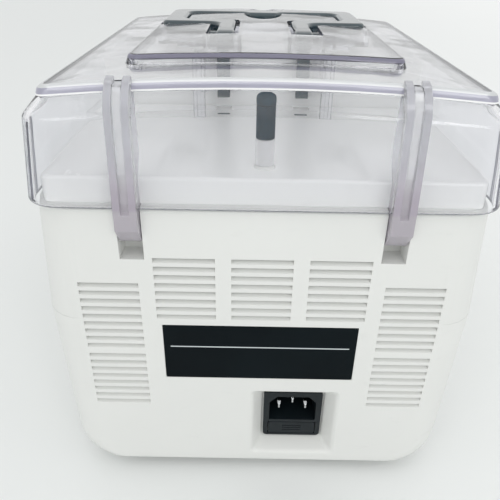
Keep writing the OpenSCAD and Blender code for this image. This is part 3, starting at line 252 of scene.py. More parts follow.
def metal(name, colour, rough, brushed=(1.0, 1.0, 1.0), mottle=0.06, spangle=0.0):
    f = Finish(bpy.data.materials.new(name))
    cloud = f.noise(35.0, 4.0, 0.6).ramp(0.3, 0.7)
    lines = f.noise(900.0, 3.0, 0.6, brushed)
    base = f.mix(cloud, colour, darker(colour, mottle))
    rise = lines * 0.1 + cloud * 0.06 + rough
    if spangle:  # the zinc's crystals
        leaf = f.level(f.cells(220.0, 1))
        base = f.mix(leaf * spangle, base, darker(colour, 0.28))
        rise = rise + leaf * 0.12
    return f.done(f.skin({"Base Color": base, "Metallic": 1.0, "Roughness": rise,
                          "Normal": f.bumps((lines, 0.000012))}))


def circuitBoard():
    f = Finish(bpy.data.materials.new("circuitBoard"))
    tracks = f.level(f.node("ShaderNodeTexBrick", {"offset": 0.37, "squash": 1.6},
                            {"Vector": f.place(), "Scale": 260.0, "Mortar Size": 0.09, "Color1": (1, 1, 1, 1),
                             "Color2": (0.55, 0.55, 0.55, 1), "Mortar": (0, 0, 0, 1)}))
    pads = f.cells(420.0).ramp(0.18, 0.22, 1.0, 0.0) * f.noise(60.0).ramp(0.5, 0.54)
    base = f.mix(pads, f.mix(tracks, (16, 66, 36), (34, 104, 58)), (196, 182, 130))
    return f.done(f.skin({"Base Color": base, "Metallic": pads * 0.8, "Roughness": 0.35, "Coat Weight": 0.4,
                          "Coat Roughness": 0.15, "Normal": f.bumps((tracks, 0.00003), (pads, 0.00008))}))


def redWindow():
    f = Finish(bpy.data.materials.new("redWindow"))
    swirl = f.noise(300.0, 3.0)
    return f.done(f.skin({"Base Color": f.mix(swirl, (84, 10, 12), (116, 20, 22)), "Roughness": 0.08,
                          "IOR": 1.5, "Transmission Weight": 0.75,
                          "Normal": f.bumps((f.noise(40.0), 0.00005))}))


def copperWinding():
    f = Finish(bpy.data.materials.new("copperWinding"))
    turns = f.level(f.node("ShaderNodeTexWave", {"bands_direction": "Z"},
                           {"Vector": f.place(), "Scale": 420.0, "Distortion": 0.6, "Detail": 1.0}))
    cloud = f.noise(80.0, 4.0).ramp(0.3, 0.7)
    return f.done(f.skin({"Base Color": f.mix(cloud * 0.5 + turns * 0.3, (150, 78, 42), (204, 124, 74)),
                          "Metallic": 0.9, "Roughness": cloud * 0.2 + 0.25,
                          "Normal": f.bumps((turns, 0.0002))}))


feltFinish = sleeveFelt("sleeveFelt", (0, 24, 36), (18, 58, 74), 0.4)
capFinish = sleeveFelt("capFelt", (4, 42, 56), (30, 70, 86), 0.12)
bySlot = {
    "white_plastic": bodyFinish, "deck_plastic": deckFinish, "clear_plastic": lidFinish,
    "handle_plastic": handlePlastic(), "black_plastic": blackFinish, "plate_film": plateFilm(),
    "felt_sleeve": feltFinish, "rubber": rubberBlack(),
    "sheet_steel": metal("galvanisedSheet", (176, 179, 181), 0.38, spangle=0.5),
    "bright_steel": metal("brightSteel", (206, 208, 210), 0.16, (1.0, 1.0, 8.0)),
    "stainless": metal("stainless", (190, 190, 188), 0.24, (0.15, 4.0, 4.0)),
    "brass": metal("brass", (198, 164, 92), 0.24, (1.0, 1.0, 6.0), 0.12),
    "aluminium": metal("aluminium", (198, 200, 203), 0.34, (0.2, 3.0, 3.0)),
    "motor_case": metal("motorCan", (120, 122, 125), 0.4, (1.0, 0.2, 1.0), 0.12),
    "nylon": nylonFinish, "circuit_board": circuitBoard(), "window_film": redWindow(),
    "grey_key": greyKeyFinish, "red_key": redKeyFinish, "glass_tube": tubeFinish, "winding": copperWinding()}
print("finishes made:", len(bpy.data.materials))


# meshes are worked in millimetres and scaled to metres when a piece is closed
mergeAngle = math.radians(0.8)  # faces that turn by less are joined into one


def roundedOutline(corners, steps=6):
    # corners (x, y, radius) of a closed outline; each corner becomes an arc
    points = []
    for i, (x, y, r) in enumerate(corners):
        p = Vector((x, y))
        before = Vector(corners[i - 1][:2]) - p
        after = Vector(corners[(i + 1) % len(corners)][:2]) - p
        if r == 0:
            points.append(p)
            continue
        u, v = before.normalized(), after.normalized()
        half = math.acos(max(-1.0, min(1.0, u.dot(v)))) / 2
        centre = p + (u + v).normalized() * r / math.sin(half)
        start, end = p + u * r / math.tan(half) - centre, p + v * r / math.tan(half) - centre
        turn = math.atan2(start.x * end.y - start.y * end.x, start.dot(end))
        points += [centre + Matrix.Rotation(turn * k / steps, 2) @ start for k in range(steps + 1)]
    return points


def planRing(half, front, rear, radius, steps=10, spare=9):
    # an outline from above, with spare points along the front and rear so that they follow a crown
    arcs = roundedOutline([(half, rear, radius), (-half, rear, radius), (-half, front, radius),
                           (half, front, radius)], steps)
    n = steps + 1
    a, b, c, d = [arcs[i * n:(i + 1) * n] for i in range(4)]
    rearSide = [a[-1].lerp(b[0], k / (spare + 1)) for k in range(1, spare + 1)]
    frontSide = [c[-1].lerp(d[0], k / (spare + 1)) for k in range(1, spare + 1)]
    return a + rearSide + b + c + frontSide + d


def loft(bm, rings, marks, closed=True):
    # extrudes the first ring to each next one and then back to the first, or else fills both ends; marks
    # give the strip after a ring its finish
    verts = [bm.verts.new(p) for p in rings[0]]
    edges = [bm.edges.new((a, b)) for a, b in zip(verts, verts[1:] + verts[:1])]
    order = {tuple(v.co): i for i, v in enumerate(verts)}
    for k, ring in enumerate(rings[1:] + rings[:closed]):
        made = bmesh.ops.extrude_edge_only(bm, edges=edges)["geom"]
        for face in [g for g in made if isinstance(g, bmesh.types.BMFace)]:
            face.material_index = marks.get(k, 0)
        verts = [None] * len(ring)
        for v in [g for g in made if isinstance(g, bmesh.types.BMVert)]:
            verts[order[tuple(v.co)]] = v
        for i, v in enumerate(verts):
            v.co = ring[i]
        order = {tuple(v.co): i for i, v in enumerate(verts)}
        edges = [g for g in made if isinstance(g, bmesh.types.BMEdge)
                 and g.verts[0] in verts and g.verts[1] in verts]
    bmesh.ops.remove_doubles(bm, verts=bm.verts, dist=0.0005)
    if not closed:
        bmesh.ops.holes_fill(bm, edges=[e for e in bm.edges if len(e.link_faces) == 1], sides=0)
        bmesh.ops.recalc_face_normals(bm, faces=bm.faces)


def uprightRing(centre, depth, half, drop, rise, radius):
    # a rounded rectangle seen from the rear, at one depth
    x, z = centre
    return [(p.x, depth, p.y) for p in roundedOutline(
        [(x - half, z - drop, radius), (x + half, z - drop, radius), (x + half, z + rise, radius),
         (x - half, z + rise, radius)], 5)]


def prism(bm, outline, low, high, turn=Matrix()):
    # an outline raised from one height to another; turn places it elsewhere
    verts = [bm.verts.new((p[0], p[1], low)) for p in outline]
    raised = bmesh.ops.extrude_face_region(bm, geom=[bm.faces.new(verts)])["geom"]
    top = [g for g in raised if isinstance(g, bmesh.types.BMVert)]
    bmesh.ops.translate(bm, vec=(0, 0, high - low), verts=top)
    bmesh.ops.transform(bm, matrix=turn, verts=verts + top)
    return verts + top


def roundEdges(bm, width, segments, chosen):
    edges = [e for e in bm.edges if len(e.link_faces) == 2 and chosen(e)]
    bmesh.ops.bevel(bm, geom=edges, offset=width, offset_type="OFFSET", affect="EDGES", segments=segments,
                    profile=0.5, material=-1, clamp_overlap=True)


def lathe(bm, profile, centre, steps=48):
    # turns a profile (radius, height) about an upright axis
    verts = [bm.verts.new((centre[0] + r, centre[1], centre[2] + z)) for r, z in profile]
    edges = [bm.edges.new(pair) for pair in zip(verts, verts[1:])]
    bmesh.ops.spin(bm, geom=verts + edges, cent=centre, axis=(0, 0, 1), angle=2 * math.pi, steps=steps,
                   use_merge=True)
    bmesh.ops.remove_doubles(bm, verts=bm.verts, dist=0.0005)


def boxInto(bm, low, high):
    made = bmesh.ops.create_cube(bm, size=1.0)["verts"]
    bmesh.ops.scale(bm, vec=[b - a for a, b in zip(low, high)], verts=made)
    bmesh.ops.translate(bm, vec=[(a + b) / 2 for a, b in zip(low, high)], verts=made)


def cadCopy(node):
    # a merged copy of a CAD node
    bm = bmesh.new()
    bm.from_mesh(cad[node].data)
    for f in bm.faces:
        f.material_index = 0
    bmesh.ops.scale(bm, vec=(1000, 1000, 1000), verts=bm.verts)
    bmesh.ops.remove_doubles(bm, verts=bm.verts, dist=0.003)
    bmesh.ops.dissolve_limit(bm, angle_limit=mergeAngle, verts=bm.verts, edges=bm.edges)
    return bm


def paintFaces(bm, index, chosen):
    for f in bm.faces:
        if chosen(f.calc_center_median(), f.normal):
            f.material_index = index


def meshObject(bm, name):
    bmesh.ops.scale(bm, vec=(0.001, 0.001, 0.001), verts=bm.verts)
    mesh = bpy.data.meshes.new(name)
    bm.to_mesh(mesh)
    bm.free()
    made = bpy.data.objects.new(name, mesh)
    bpy.context.scene.collection.objects.link(made)
    return made


def shapeWith(bm, toolBm, operation):
    # joins or cuts one millimetre mesh with another and gives the result as a bmesh
    base, tool = meshObject(bm, "shapeBase"), meshObject(toolBm, "shapeTool")
    cut = base.modifiers.new("shape", "BOOLEAN")
    cut.operation, cut.object, cut.solver = operation, tool, "EXACT"
    bpy.context.view_layer.update()
    shaped = bpy.data.meshes.new_from_object(base.evaluated_get(bpy.context.evaluated_depsgraph_get()))
    made = bmesh.new()
    made.from_mesh(shaped)
    bmesh.ops.scale(made, vec=(1000, 1000, 1000), verts=made.verts)
    for spare in (base, tool):
        bpy.data.objects.remove(spare)
    bpy.data.meshes.remove(shaped)
    return made


def makePiece(bm, name, body, slot, stands=(), crease=35, finishes=None, soften=0.0, turnOut=True):
    # closes a piece: normals, creases, metres, finish (the slot's, unless finishes are given) and body
    if turnOut:
        bmesh.ops.remove_doubles(bm, verts=bm.verts, dist=0.0005)
        bmesh.ops.recalc_face_normals(bm, faces=bm.faces)
    for f in bm.faces:
        f.smooth = True
    for e in bm.edges:
        e.smooth = not (len(e.link_faces) == 2 and e.calc_face_angle(0) > math.radians(crease))
    piece = meshObject(bm, name)
    for finish in finishes or [bySlot[slot]]:
        piece.data.materials.append(finish)
    if soften:
        edge = piece.modifiers.new("edges", "BEVEL")
        edge.width, edge.segments, edge.limit_method = soften * 0.001, 2, "ANGLE"
        edge.angle_limit, edge.use_clamp_overlap = math.radians(crease), True
    flat = piece.modifiers.new("flats", "WEIGHTED_NORMAL")
    flat.keep_sharp, flat.weight = not soften, 80
    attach(piece, body)
    if stands:
        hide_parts(*stands)
    return piece


# the housing, with the inlet's well moulded into it: a block is added behind its opening, the well is cut
# from the rings (depth, half width, drop, rise and corner radius) and the opening is cut through again
housing = {"edge": 0.3, "crease": 24, "inlet": (-18.4, 35.0), "blockHalf": 26.0,
           "blockDepth": (129.4, 141.46), "blockHeight": (12.7, 65.0), "openHalf": (13.8, 14.1),
           "openDepth": (100.0, 136.0),
           "well": [(131.8, 15.9, 16.2, 16.0, 1.0), (133.8, 16.8, 16.9, 16.7, 1.2),
                    (139.6, 20.2, 19.3, 22.1, 2.0), (140.5, 20.9, 19.9, 23.0, 2.3),
                    (141.1, 21.6, 20.4, 23.6, 2.6), (141.44, 22.4, 20.9, 24.2, 3.0),
                    (141.8, 24.0, 21.8, 25.2, 3.6)]}
x, z = housing["inlet"]
block, well, opening = bmesh.new(), bmesh.new(), bmesh.new()
boxInto(block, (x - housing["blockHalf"], housing["blockDepth"][0], housing["blockHeight"][0]),
        (x + housing["blockHalf"], housing["blockDepth"][1], housing["blockHeight"][1]))
loft(well, [uprightRing(housing["inlet"], *row) for row in housing["well"]], {}, closed=False)
boxInto(opening, (x - housing["openHalf"][0], housing["openDepth"][0], z - housing["openHalf"][1]),
        (x + housing["openHalf"][0], housing["openDepth"][1], z + housing["openHalf"][1]))
shell = shapeWith(cadCopy("housing"), block, "UNION")
shell = shapeWith(shapeWith(shell, well, "DIFFERENCE"), opening, "DIFFERENCE")
bmesh.ops.dissolve_limit(shell, angle_limit=mergeAngle, verts=shell.verts, edges=shell.edges)
makePiece(shell, "housingMoulding", "root", "white_plastic", ["housing", "inlet_surround"],
          crease=housing["crease"], soften=housing["edge"], turnOut=False)

# the inlet's blades, with narrowed tips; each ring has a depth, half width, half height and corner radius
pins = {"centre": (-18.4, 39.35), "spots": ((-7, -1.5), (7, -1.5), (0, 2.5)),
        "rings": [(104.8, 0.97, 2.47, 0.1), (129.2, 0.97, 2.47, 0.1), (130.4, 0.62, 1.5, 0.15),
                  (130.78, 0.4, 1.1, 0.2)]}
bm = bmesh.new()
for x, z in pins["spots"]:
    loft(bm, [uprightRing((pins["centre"][0] + x, pins["centre"][1] + z), y, w, h, h, r)
              for y, w, h, r in pins["rings"]], {}, closed=False)
makePiece(bm, "inletPins", "root", "bright_steel", ["inlet_pins"], crease=30)
print("housing made")

# the lid: walls up to a crease, a bevel, a small upright step and a crowned top. A row of edgeOut has the
# inset from the wall, the rise above the crease and the strip that follows it; edgeIn is the inner face. The
# strips line, edge and brim are a painted highlight, a band of painted shade and painted light on the top
# round
lid = {"rim": 159.0, "half": 99.0, "lean": 3.5, "wallHeight": 39.0, "rear": 144.0, "length": 236.0,
       "frontLean": 17.0, "corner": 16.0, "crown": 5.0, "wall": 2.4, "top": 208.5,
       "trayHalf": 60.5, "trayFront": -60.0, "trayRear": 103.0, "trayRadius": 7.0,
       "armX": 55.7, "slotHalf": 4.8, "slotDepth": (130.95, 150.0), "slotHeight": (157.0, 215.0),
       "cornerLines": (4.5, 31.5), "lineHalf": 4.4, "lineReach": 20.0,
       "edgeOut": [(-0.1, -1.2, "clear"), (0.02, -0.5, "clear"), (0.24, 0.06, "clear"), (0.64, 0.6, "clear"),
                   (1.1, 1.08, "clear"), (3.6, 3.6, "clear"), (6.1, 6.1, "clear"), (6.4, 6.45, "clear"),
                   (6.45, 6.7, "line"), (6.6, 7.35, "edge"), (6.92, 8.4, "edge"), (7.15, 9.0, "edge"),
                   (7.45, 9.5, "brim"), (7.9, 9.92, "brim"), (8.6, 10.3, "brim"), (9.8, 10.5, "clear")],
       "edgeIn": [(2.3, -2.4), (2.42, -1.6), (2.7, -1.0), (3.1, -0.5), (5.2, 1.6), (8.0, 4.4), (9.6, 6.0),
                  (10.2, 6.75), (10.7, 7.4), (11.3, 7.9), (12.2, 8.1)]}
lidStrips = {"clear": lidFinish, "edge": edgeShadeFinish, "rim": rimShadeFinish, "line": highlightLineFinish, "brim": brimLightFinish,
             "corner": cornerShadeFinish}
strip = {name: i for i, name in enumerate(lidStrips)}


def crownDrop(x):
    return lid["crown"] * x * x / (lid["half"] - lid["lean"]) ** 2


def lidRing(share, inset, rise):
    i = lid["lean"] * share + inset
    front = lid["rear"] - lid["length"] + lid["frontLean"] * share + inset
    return [(p.x, p.y, lid["rim"] + lid["wallHeight"] * share + rise - share * crownDrop(p.x))
            for p in planRing(lid["half"] - i, front, lid["rear"] - i, max(0.9, lid["corner"] - i))]


def trayRing(z, inset=0.0, crown=crownDrop):
    return [(p.x, p.y, z - crown(p.x))
            for p in planRing(lid["trayHalf"] - inset, lid["trayFront"] + inset, lid["trayRear"] - inset,
                              lid["trayRadius"] - min(inset, 4.0))]


# the rim, half-way up the wall, the edge with its strips, the tray's opening, and back down the inner face
rings = [lidRing(0, 0.6, 0), lidRing(0, 0.15, 0.15), lidRing(0, 0, 0.6), lidRing(0.5, 0, 0)]
# the strips at the rim, outside and inside, carry that painted shade
marks = {0: strip["rim"], 1: strip["rim"]}
for inset, rise, name in lid["edgeOut"]:
    marks[len(rings)] = strip[name]
    rings.append(lidRing(1, inset, rise))
rings += [trayRing(lid["top"]), trayRing(lid["top"] - lid["wall"])]
rings += [lidRing(1, *row) for row in reversed(lid["edgeIn"])]
rings += [lidRing(0.5, lid["wall"], 0), lidRing(0, lid["wall"], 0)]
marks[len(rings) - 1] = strip["rim"]
bm = bmesh.new()
loft(bm, rings, marks)
bmesh.ops.recalc_face_normals(bm, faces=bm.faces)
slots = bmesh.new()
for side in (-1, 1):
    boxInto(slots, (side * lid["armX"] - lid["slotHalf"], lid["slotDepth"][0], lid["slotHeight"][0]),
            (side * lid["armX"] + lid["slotHalf"], lid["slotDepth"][1], lid["slotHeight"][1]))
shell = shapeWith(bm, slots, "DIFFERENCE")
# the thick rear corners show as upright lines: the faces of their round that turn to these angles get painted
# shade
for line in lid["cornerLines"]:
    paintFaces(shell, strip["corner"], lambda c, n: c.y > lid["rear"] - lid["lineReach"]
               and abs(c.x) > lid["half"] - lid["lineReach"]
               and c.z < lid["rim"] + lid["wallHeight"] and abs(n.z) < 0.3
               and abs(math.degrees(math.atan2(abs(n.y), abs(n.x))) - line) < lid["lineHalf"])
makePiece(shell, "lidShell", "lid", "clear_plastic", ["lid_shell"], crease=50,
          finishes=list(lidStrips.values()), turnOut=False)

# the tray: its edge leans in to a rounded brim, and a finger scoop lies before the grip; the profile "edge"
# (inset, height above the lid) is cut away all round, and so is the skirt under the near edge
tray = {"edge": [(3.6, 3.9), (2.7, 3.48), (1.9, 3.2), (1.35, 2.75), (1.0, 2.1), (0.7, 1.2), (0.3, 0.05),
                 (0.3, -14), (-6, -14), (-6, 5), (3.6, 5)],
        "crown": 4.0, "crownHalf": 95.0, "face": 212.0, "skirt": 2.8, "skirtLow": 190.0, "skirtIn": 8.0,
        "skirtGap": 0.2, "scoopY": -34.5, "scoop": (21.8, 52.0, 21.8), "scoopDepth": 3.6,
        "brim": 3.7, "brimRise": 0.9, "band": (0.2100, 0.2125, 0.66)}
# the tray's brim carries painted shade: a dark lilac tone, and a band of it between two heights that follow
# the crown
trayEdgeShadeFinish = clearPlastic("trayEdgePaintedShade", 0.06, (146, 144, 164), passes=0.65,
                          band=(*tray["band"], 1000 * tray["crown"] / tray["crownHalf"] ** 2))


def trayDrop(x):
    return tray["crown"] * x * x / tray["crownHalf"] ** 2


edgeCut, skirtCut, scoopCut = bmesh.new(), bmesh.new(), bmesh.new()
loft(edgeCut, [trayRing(lid["top"] + rise, inset, trayDrop) for inset, rise in tray["edge"]], {})
reach = lid["trayHalf"] - tray["skirtIn"]
boxInto(skirtCut, (-reach, lid["trayRear"] - tray["skirt"], tray["skirtLow"]),
        (reach, lid["trayRear"] + 1, lid["top"] - trayDrop(reach) - tray["skirtGap"]))
ball = bmesh.ops.create_uvsphere(scoopCut, u_segments=64, v_segments=48, radius=1.0)["verts"]
bmesh.ops.scale(scoopCut, vec=tray["scoop"], verts=ball)
bmesh.ops.translate(scoopCut, vec=(0, tray["scoopY"], tray["face"] + tray["scoop"][2] - tray["scoopDepth"]),
                    verts=ball)
bm = cadCopy("handle_tray")
for cut in (edgeCut, skirtCut, scoopCut):
    bmesh.ops.recalc_face_normals(cut, faces=cut.faces)
    bm = shapeWith(bm, cut, "DIFFERENCE")
# the brim's faces take that painted shade
paintFaces(bm, 1, lambda c, n: n.z < 0.8 and c.z > lid["top"] - trayDrop(c.x) + tray["brimRise"]
           and (abs(c.x) > lid["trayHalf"] - tray["brim"] or c.y > lid["trayRear"] - tray["brim"]
                or c.y < lid["trayFront"] + tray["brim"]))
makePiece(bm, "handleTray", "lid", "clear_plastic", ["handle_tray"], crease=30,
          finishes=[lidFinish, trayEdgeShadeFinish], turnOut=False)

# each arm's ribs are clouded where they face up and to the rear; the groove between them stays clear
arms = {"ribFront": 130.0, "grooveHalf": 1.8, "edge": 0.35}
bm = cadCopy("hinge_arms")
paintFaces(bm, 1, lambda c, n: n.y + 0.6 * n.z > 0.5 and c.y > arms["ribFront"]
           and abs(abs(c.x) - lid["armX"]) > arms["grooveHalf"])
makePiece(bm, "hingeArms", "lid", "clear_plastic", ["hinge_arms"], crease=30,
          finishes=[armFinish, ribFinish], soften=arms["edge"], turnOut=False)

# the tongues' guide keeps only the plate on its far side, so that they show
guide = {"cutLow": (-31.2, 32.4, 170.0), "cutHigh": (31.2, 60.0, 200.0), "edge": 0.35}
guideCut = bmesh.new()
boxInto(guideCut, guide["cutLow"], guide["cutHigh"])
makePiece(shapeWith(cadCopy("lid_posts"), guideCut, "DIFFERENCE"), "lidPosts", "lid", "clear_plastic",
          ["lid_posts"], crease=30, soften=guide["edge"], turnOut=False)
print("lid made")

# the folding handle, with a cam on each foot that presses a latch tongue, and a hub beside it
handle = {"half": 57.5, "grip": -47.0, "wing": -1.0, "bar": 12.0, "footIn": 15.5, "footOut": 25.0,
          "footEnd": 35.0, "low": 204.0, "high": 212.5, "round": 2.2, "tab": (12.0, 8.5), "tabReach": 4.0,
          "pivotY": 35.0, "pivotZ": 206.5, "camRadius": 4.5, "camRise": 8.0, "camRound": 1.8,
          "camEnd": [(47.3, 208.0), (46.7, 209.7), (45.2, 211.2), (43.0, 212.1), (40.0, 212.4), (31.8, 212.4),
                     (31.8, 202.6)],
          "hub": 28.4, "hubRadius": 4.3, "hubSunk": 0.5}
wingEdge, gripEdge = handle["wing"] + handle["bar"], handle["grip"] + handle["bar"]
rightHalf = [(handle["half"], handle["grip"], 9), (handle["half"], wingEdge, 5),
             (handle["footOut"], wingEdge, 7), (handle["footOut"], handle["footEnd"], 0),
             (handle["footIn"], handle["footEnd"], 0),
             (handle["footIn"], handle["wing"], 5), (handle["half"] - handle["bar"], handle["wing"], 5),
             (handle["half"] - handle["bar"], gripEdge, 6), (handle["tab"][0], gripEdge, 3),
             (handle["tab"][1], gripEdge + handle["tabReach"], 2.5)]
bm = bmesh.new()
prism(bm, roundedOutline(rightHalf + [(-x, y, r) for x, y, r in reversed(rightHalf)], 8),
      handle["low"], handle["high"])
roundEdges(bm, handle["round"], 5, lambda e: abs(e.verts[0].co.z - e.verts[1].co.z) < 0.01)
# cam and hub are drawn in the side view, and turned so that their depth runs along X
sideView = Matrix(((0, 0, 1, 0), (1, 0, 0, 0), (0, 1, 0, 0), (0, 0, 0, 1)))


def aroundPivot(radius, degrees):
    a = math.radians(degrees)
    return handle["pivotY"] + radius * math.sin(a), handle["pivotZ"] - radius * math.cos(a)


cam = [aroundPivot(handle["camRadius"] + handle["camRise"] * a / 90, a) for a in range(0, 91, 6)]
hub = [aroundPivot(handle["hubRadius"], a) for a in range(0, 360, 12)]
for side in (-1, 1):
    ends = set(prism(bm, cam + handle["camEnd"], *sorted((side * handle["footIn"], side * handle["footOut"])),
                     sideView))
    roundEdges(bm, handle["camRound"], 5, lambda e: e.verts[0] in ends and e.verts[1] in ends
               and abs(e.verts[0].co.x - e.verts[1].co.x) < 0.01)
for side in (-1, 1):
    prism(bm, hub, *sorted((side * (handle["footOut"] - handle["hubSunk"]), side * handle["hub"])), sideView)
makePiece(bm, "carryHandle", "handle", "handle_plastic", ["carry_handle"], crease=40)
makePiece(cadCopy("latch_tongues"), "latchTongues", "latch", "handle_plastic", ["latch_tongues"], crease=30,
          soften=0.5, turnOut=False)
print("handle made")

# the deck under the lid, hollow below, with two slots for the tongues
deck = {"half": 91.4, "front": 28.15, "rear": 136.2, "low": 158.7, "top": 170.0, "corner": 4.0, "round": 1.6,
        "slotX": 21.5, "slotY": 35.0, "slotHalf": (4.5, 3.5), "slotCorner": 1.0, "wall": 2.5,
        "cut": (150.0, 175.0)}
outline = [(-deck["half"], deck["front"]), (deck["half"], deck["front"]), (deck["half"], deck["rear"]),
           (-deck["half"], deck["rear"])]
bm = bmesh.new()
prism(bm, roundedOutline([(x, y, deck["corner"]) for x, y in outline], 8), deck["low"], deck["top"])
roundEdges(bm, deck["round"], 4, lambda e: min(v.co.z for v in e.verts) > deck["top"] - 0.1)
bmesh.ops.recalc_face_normals(bm, faces=bm.faces)
hollow = bmesh.new()
w, d = deck["slotHalf"]
for side in (-1, 1):
    x, y = side * deck["slotX"], deck["slotY"]
    prism(hollow, roundedOutline([(x + u, y + v, deck["slotCorner"])
                                  for u, v in ((-w, -d), (w, -d), (w, d), (-w, d))], 3), *deck["cut"])
boxInto(hollow, (-deck["half"] + deck["wall"], deck["front"] + deck["wall"], deck["cut"][0]),
        (deck["half"] - deck["wall"], deck["rear"] - deck["wall"], deck["top"] - deck["wall"]))
bmesh.ops.recalc_face_normals(hollow, faces=hollow.faces)
makePiece(shapeWith(bm, hollow, "DIFFERENCE"), "topDeck", "root", "deck_plastic", ["top_deck"], crease=40)
makePiece(cadCopy("head_cover"), "headCover", "root", "deck_plastic", ["head_cover"], crease=24, soften=1.2,
          turnOut=False)

# the guide post: disc, clear tube, felt sleeve that turns, and cap; the profiles are (radius, height)
post = {"y": 122.0, "foot": 170.0, "tubeTop": 182.5, "sleeveTop": 195.6, "top": 200.2, "bore": 2.1,
        "waves": 24, "waveHeight": 0.12}
bm = bmesh.new()
lathe(bm, [(0.0, 0.9), (3.4, 1.2), (4.0, 1.15), (4.45, 0.8), (4.6, 0.3), (4.6, -0.4), (0.0, -0.4)],
      (0, post["y"], post["foot"]))
makePiece(bm, "postDisc", "root", "white_plastic", crease=50)
bm = bmesh.new()
h = post["tubeTop"] - post["foot"]
lathe(bm, [(post["bore"], 1.2), (3.7, 1.2), (4.0, 1.5), (4.0, h - 0.3), (3.7, h), (2.3, h),
           (post["bore"], h - 0.2), (post["bore"], 1.2)], (0, post["y"], post["foot"]))
makePiece(bm, "postTube", "root", "clear_plastic", ["post_tube"], crease=50, finishes=[tubeFinish])
bm = bmesh.new()
h = post["sleeveTop"] - post["tubeTop"]
wave = [(3.88 + post["waveHeight"] * math.sin(k * 2.4), 0.3 + (h - 0.5) * k / post["waves"])
        for k in range(post["waves"] + 1)]
lathe(bm, [(post["bore"], 0.1), (3.5, 0.1), (3.8, 0.2)] + wave
      + [(3.5, h), (post["bore"], h), (post["bore"], 0.1)], (0, post["y"], post["tubeTop"]), 64)
makePiece(bm, "guideSleeve", "guide_roller", "felt_sleeve", ["guide_roller"], crease=50)
bm = bmesh.new()
h = post["top"] - post["sleeveTop"]
lathe(bm, [(0, 0.1), (3.3, 0.1), (3.75, 0.4), (4.0, 0.8), (4.0, h - 2.2), (3.85, h - 1.3), (3.4, h - 0.65),
           (2.6, h - 0.22), (1.6, h - 0.03), (0, h)], (0, post["y"], post["sleeveTop"]), 64)
makePiece(bm, "postCap", "root", "felt_sleeve", ["post_cap"], crease=50, finishes=[capFinish])
print("deck and post made")

# the rating plate, left bare but for its rule
plate = {"half": 45.15, "low": 67.55, "high": 99.45, "back": 140.7, "face": 141.5, "corner": 0.9,
         "edge": 0.18}
bm = bmesh.new()
boxInto(bm, (-plate["half"], plate["back"], plate["low"]), (plate["half"], plate["face"], plate["high"]))
roundEdges(bm, plate["corner"], 4, lambda e: abs(e.verts[0].co.y - e.verts[1].co.y) > 0.5)
roundEdges(bm, plate["edge"], 2, lambda e: min(v.co.y for v in e.verts) > plate["face"] - 0.01)
makePiece(bm, "ratingPlate", "root", "plate_film", ["rating_plate"], crease=40)

# four rubber feet with a dished sole
feet = {"x": 58, "y": (-112, 108), "radius": 9.0}
bm = bmesh.new()
for x in (-feet["x"], feet["x"]):
    for y in feet["y"]:
        lathe(bm, [(0, 1.2), (5.2, 1.2), (5.6, 0.4), (6.6, 0.05), (8.0, 0.0), (8.6, 0.25), (8.95, 0.9),
                   (feet["radius"], 2.0), (feet["radius"], 7.5), (0, 7.5)], (x, y, 0), 40)
makePiece(bm, "rubberFeet", "root", "rubber", ["feet"], crease=45)

# three unlit digits on the display module, seen through its red window
digits = {"count": 3, "pitch": 11.0, "half": 2.4, "stroke": 0.85, "slant": 0.12, "squeeze": 0.95, "gap": 0.55,
          "row": 8.0, "face": -2.5, "rise": 0.3, "panelY": -129.0, "panelZ": 135.35, "slope": 53.94}
onPanel = Matrix.Translation((0, digits["panelY"], digits["panelZ"])) @ Matrix.Rotation(
    math.radians(digits["slope"]), 4, "X")
bm = bmesh.new()
for k in range(digits["count"]):
    x, h, t = (k - 1) * digits["pitch"], digits["half"], digits["stroke"]
    bars = [(0, 2 * h, 0), (0, 0, 0), (0, -2 * h, 0), (-h, h, 1), (h, h, 1), (-h, -h, 1), (h, -h, 1)]
    for cx, cy, upright in bars:
        w, d = (t / 2, h - t * digits["gap"]) if upright else (h - t * digits["gap"], t / 2)
        points = [(x + cx + a + (cy + b) * digits["slant"], digits["row"] + (cy + b) * digits["squeeze"])
                  for a, b in ((-w, -d), (w, -d), (w, d), (-w, d))]
        prism(bm, points, digits["face"], digits["face"] + digits["rise"], onPanel)
makePiece(bm, "displayDigits", "root", "nylon", crease=40)

# pieces that keep the CAD shape and get rounded edges: node, body, slot, edge radius and finish
softened = {
    "inletBody": ("inlet_housing", "root", "black_plastic", 0.35, bezelFinish),
    "fuseDrawer": ("fuse_drawer", "fuse_drawer", "black_plastic", 0.2, bezelFinish),
    "frontPanel": ("front_panel", "root", "plate_film", 0.25, None),
    "mouthCollar": ("mouth_collar", "root", "black_plastic", 0.6, None),
    "switchFrame": ("switch_frame", "root", "black_plastic", 0.4, None),
    "powerRocker": ("power_rocker", "rocker", "black_plastic", 0.4, None),
    "feedKey": ("feed_key", "feed_key", "grey_key", 0.5, None),
    "cutKey": ("cut_key", "cut_key", "grey_key", 0.5, None),
    "modeKey": ("mode_key", "mode_key", "grey_key", 0.5, None),
    "resetKey": ("reset_key", "reset_key", "red_key", 0.5, None)}
for name, (node, body, slot, edge, finish) in softened.items():
    makePiece(cadCopy(node), name, body, slot, [node], crease=30, finishes=[finish or bySlot[slot]],
              soften=edge, turnOut=False)
print("rear face and front made")

# each CAD node takes the finish of its slot in the record
for row in frame["record"]["subparts"]:
    skins = cad[row["node"]].data.materials
    skins.clear()
    skins.append(bySlot[row["material_slot"]])
print("CAD nodes finished")

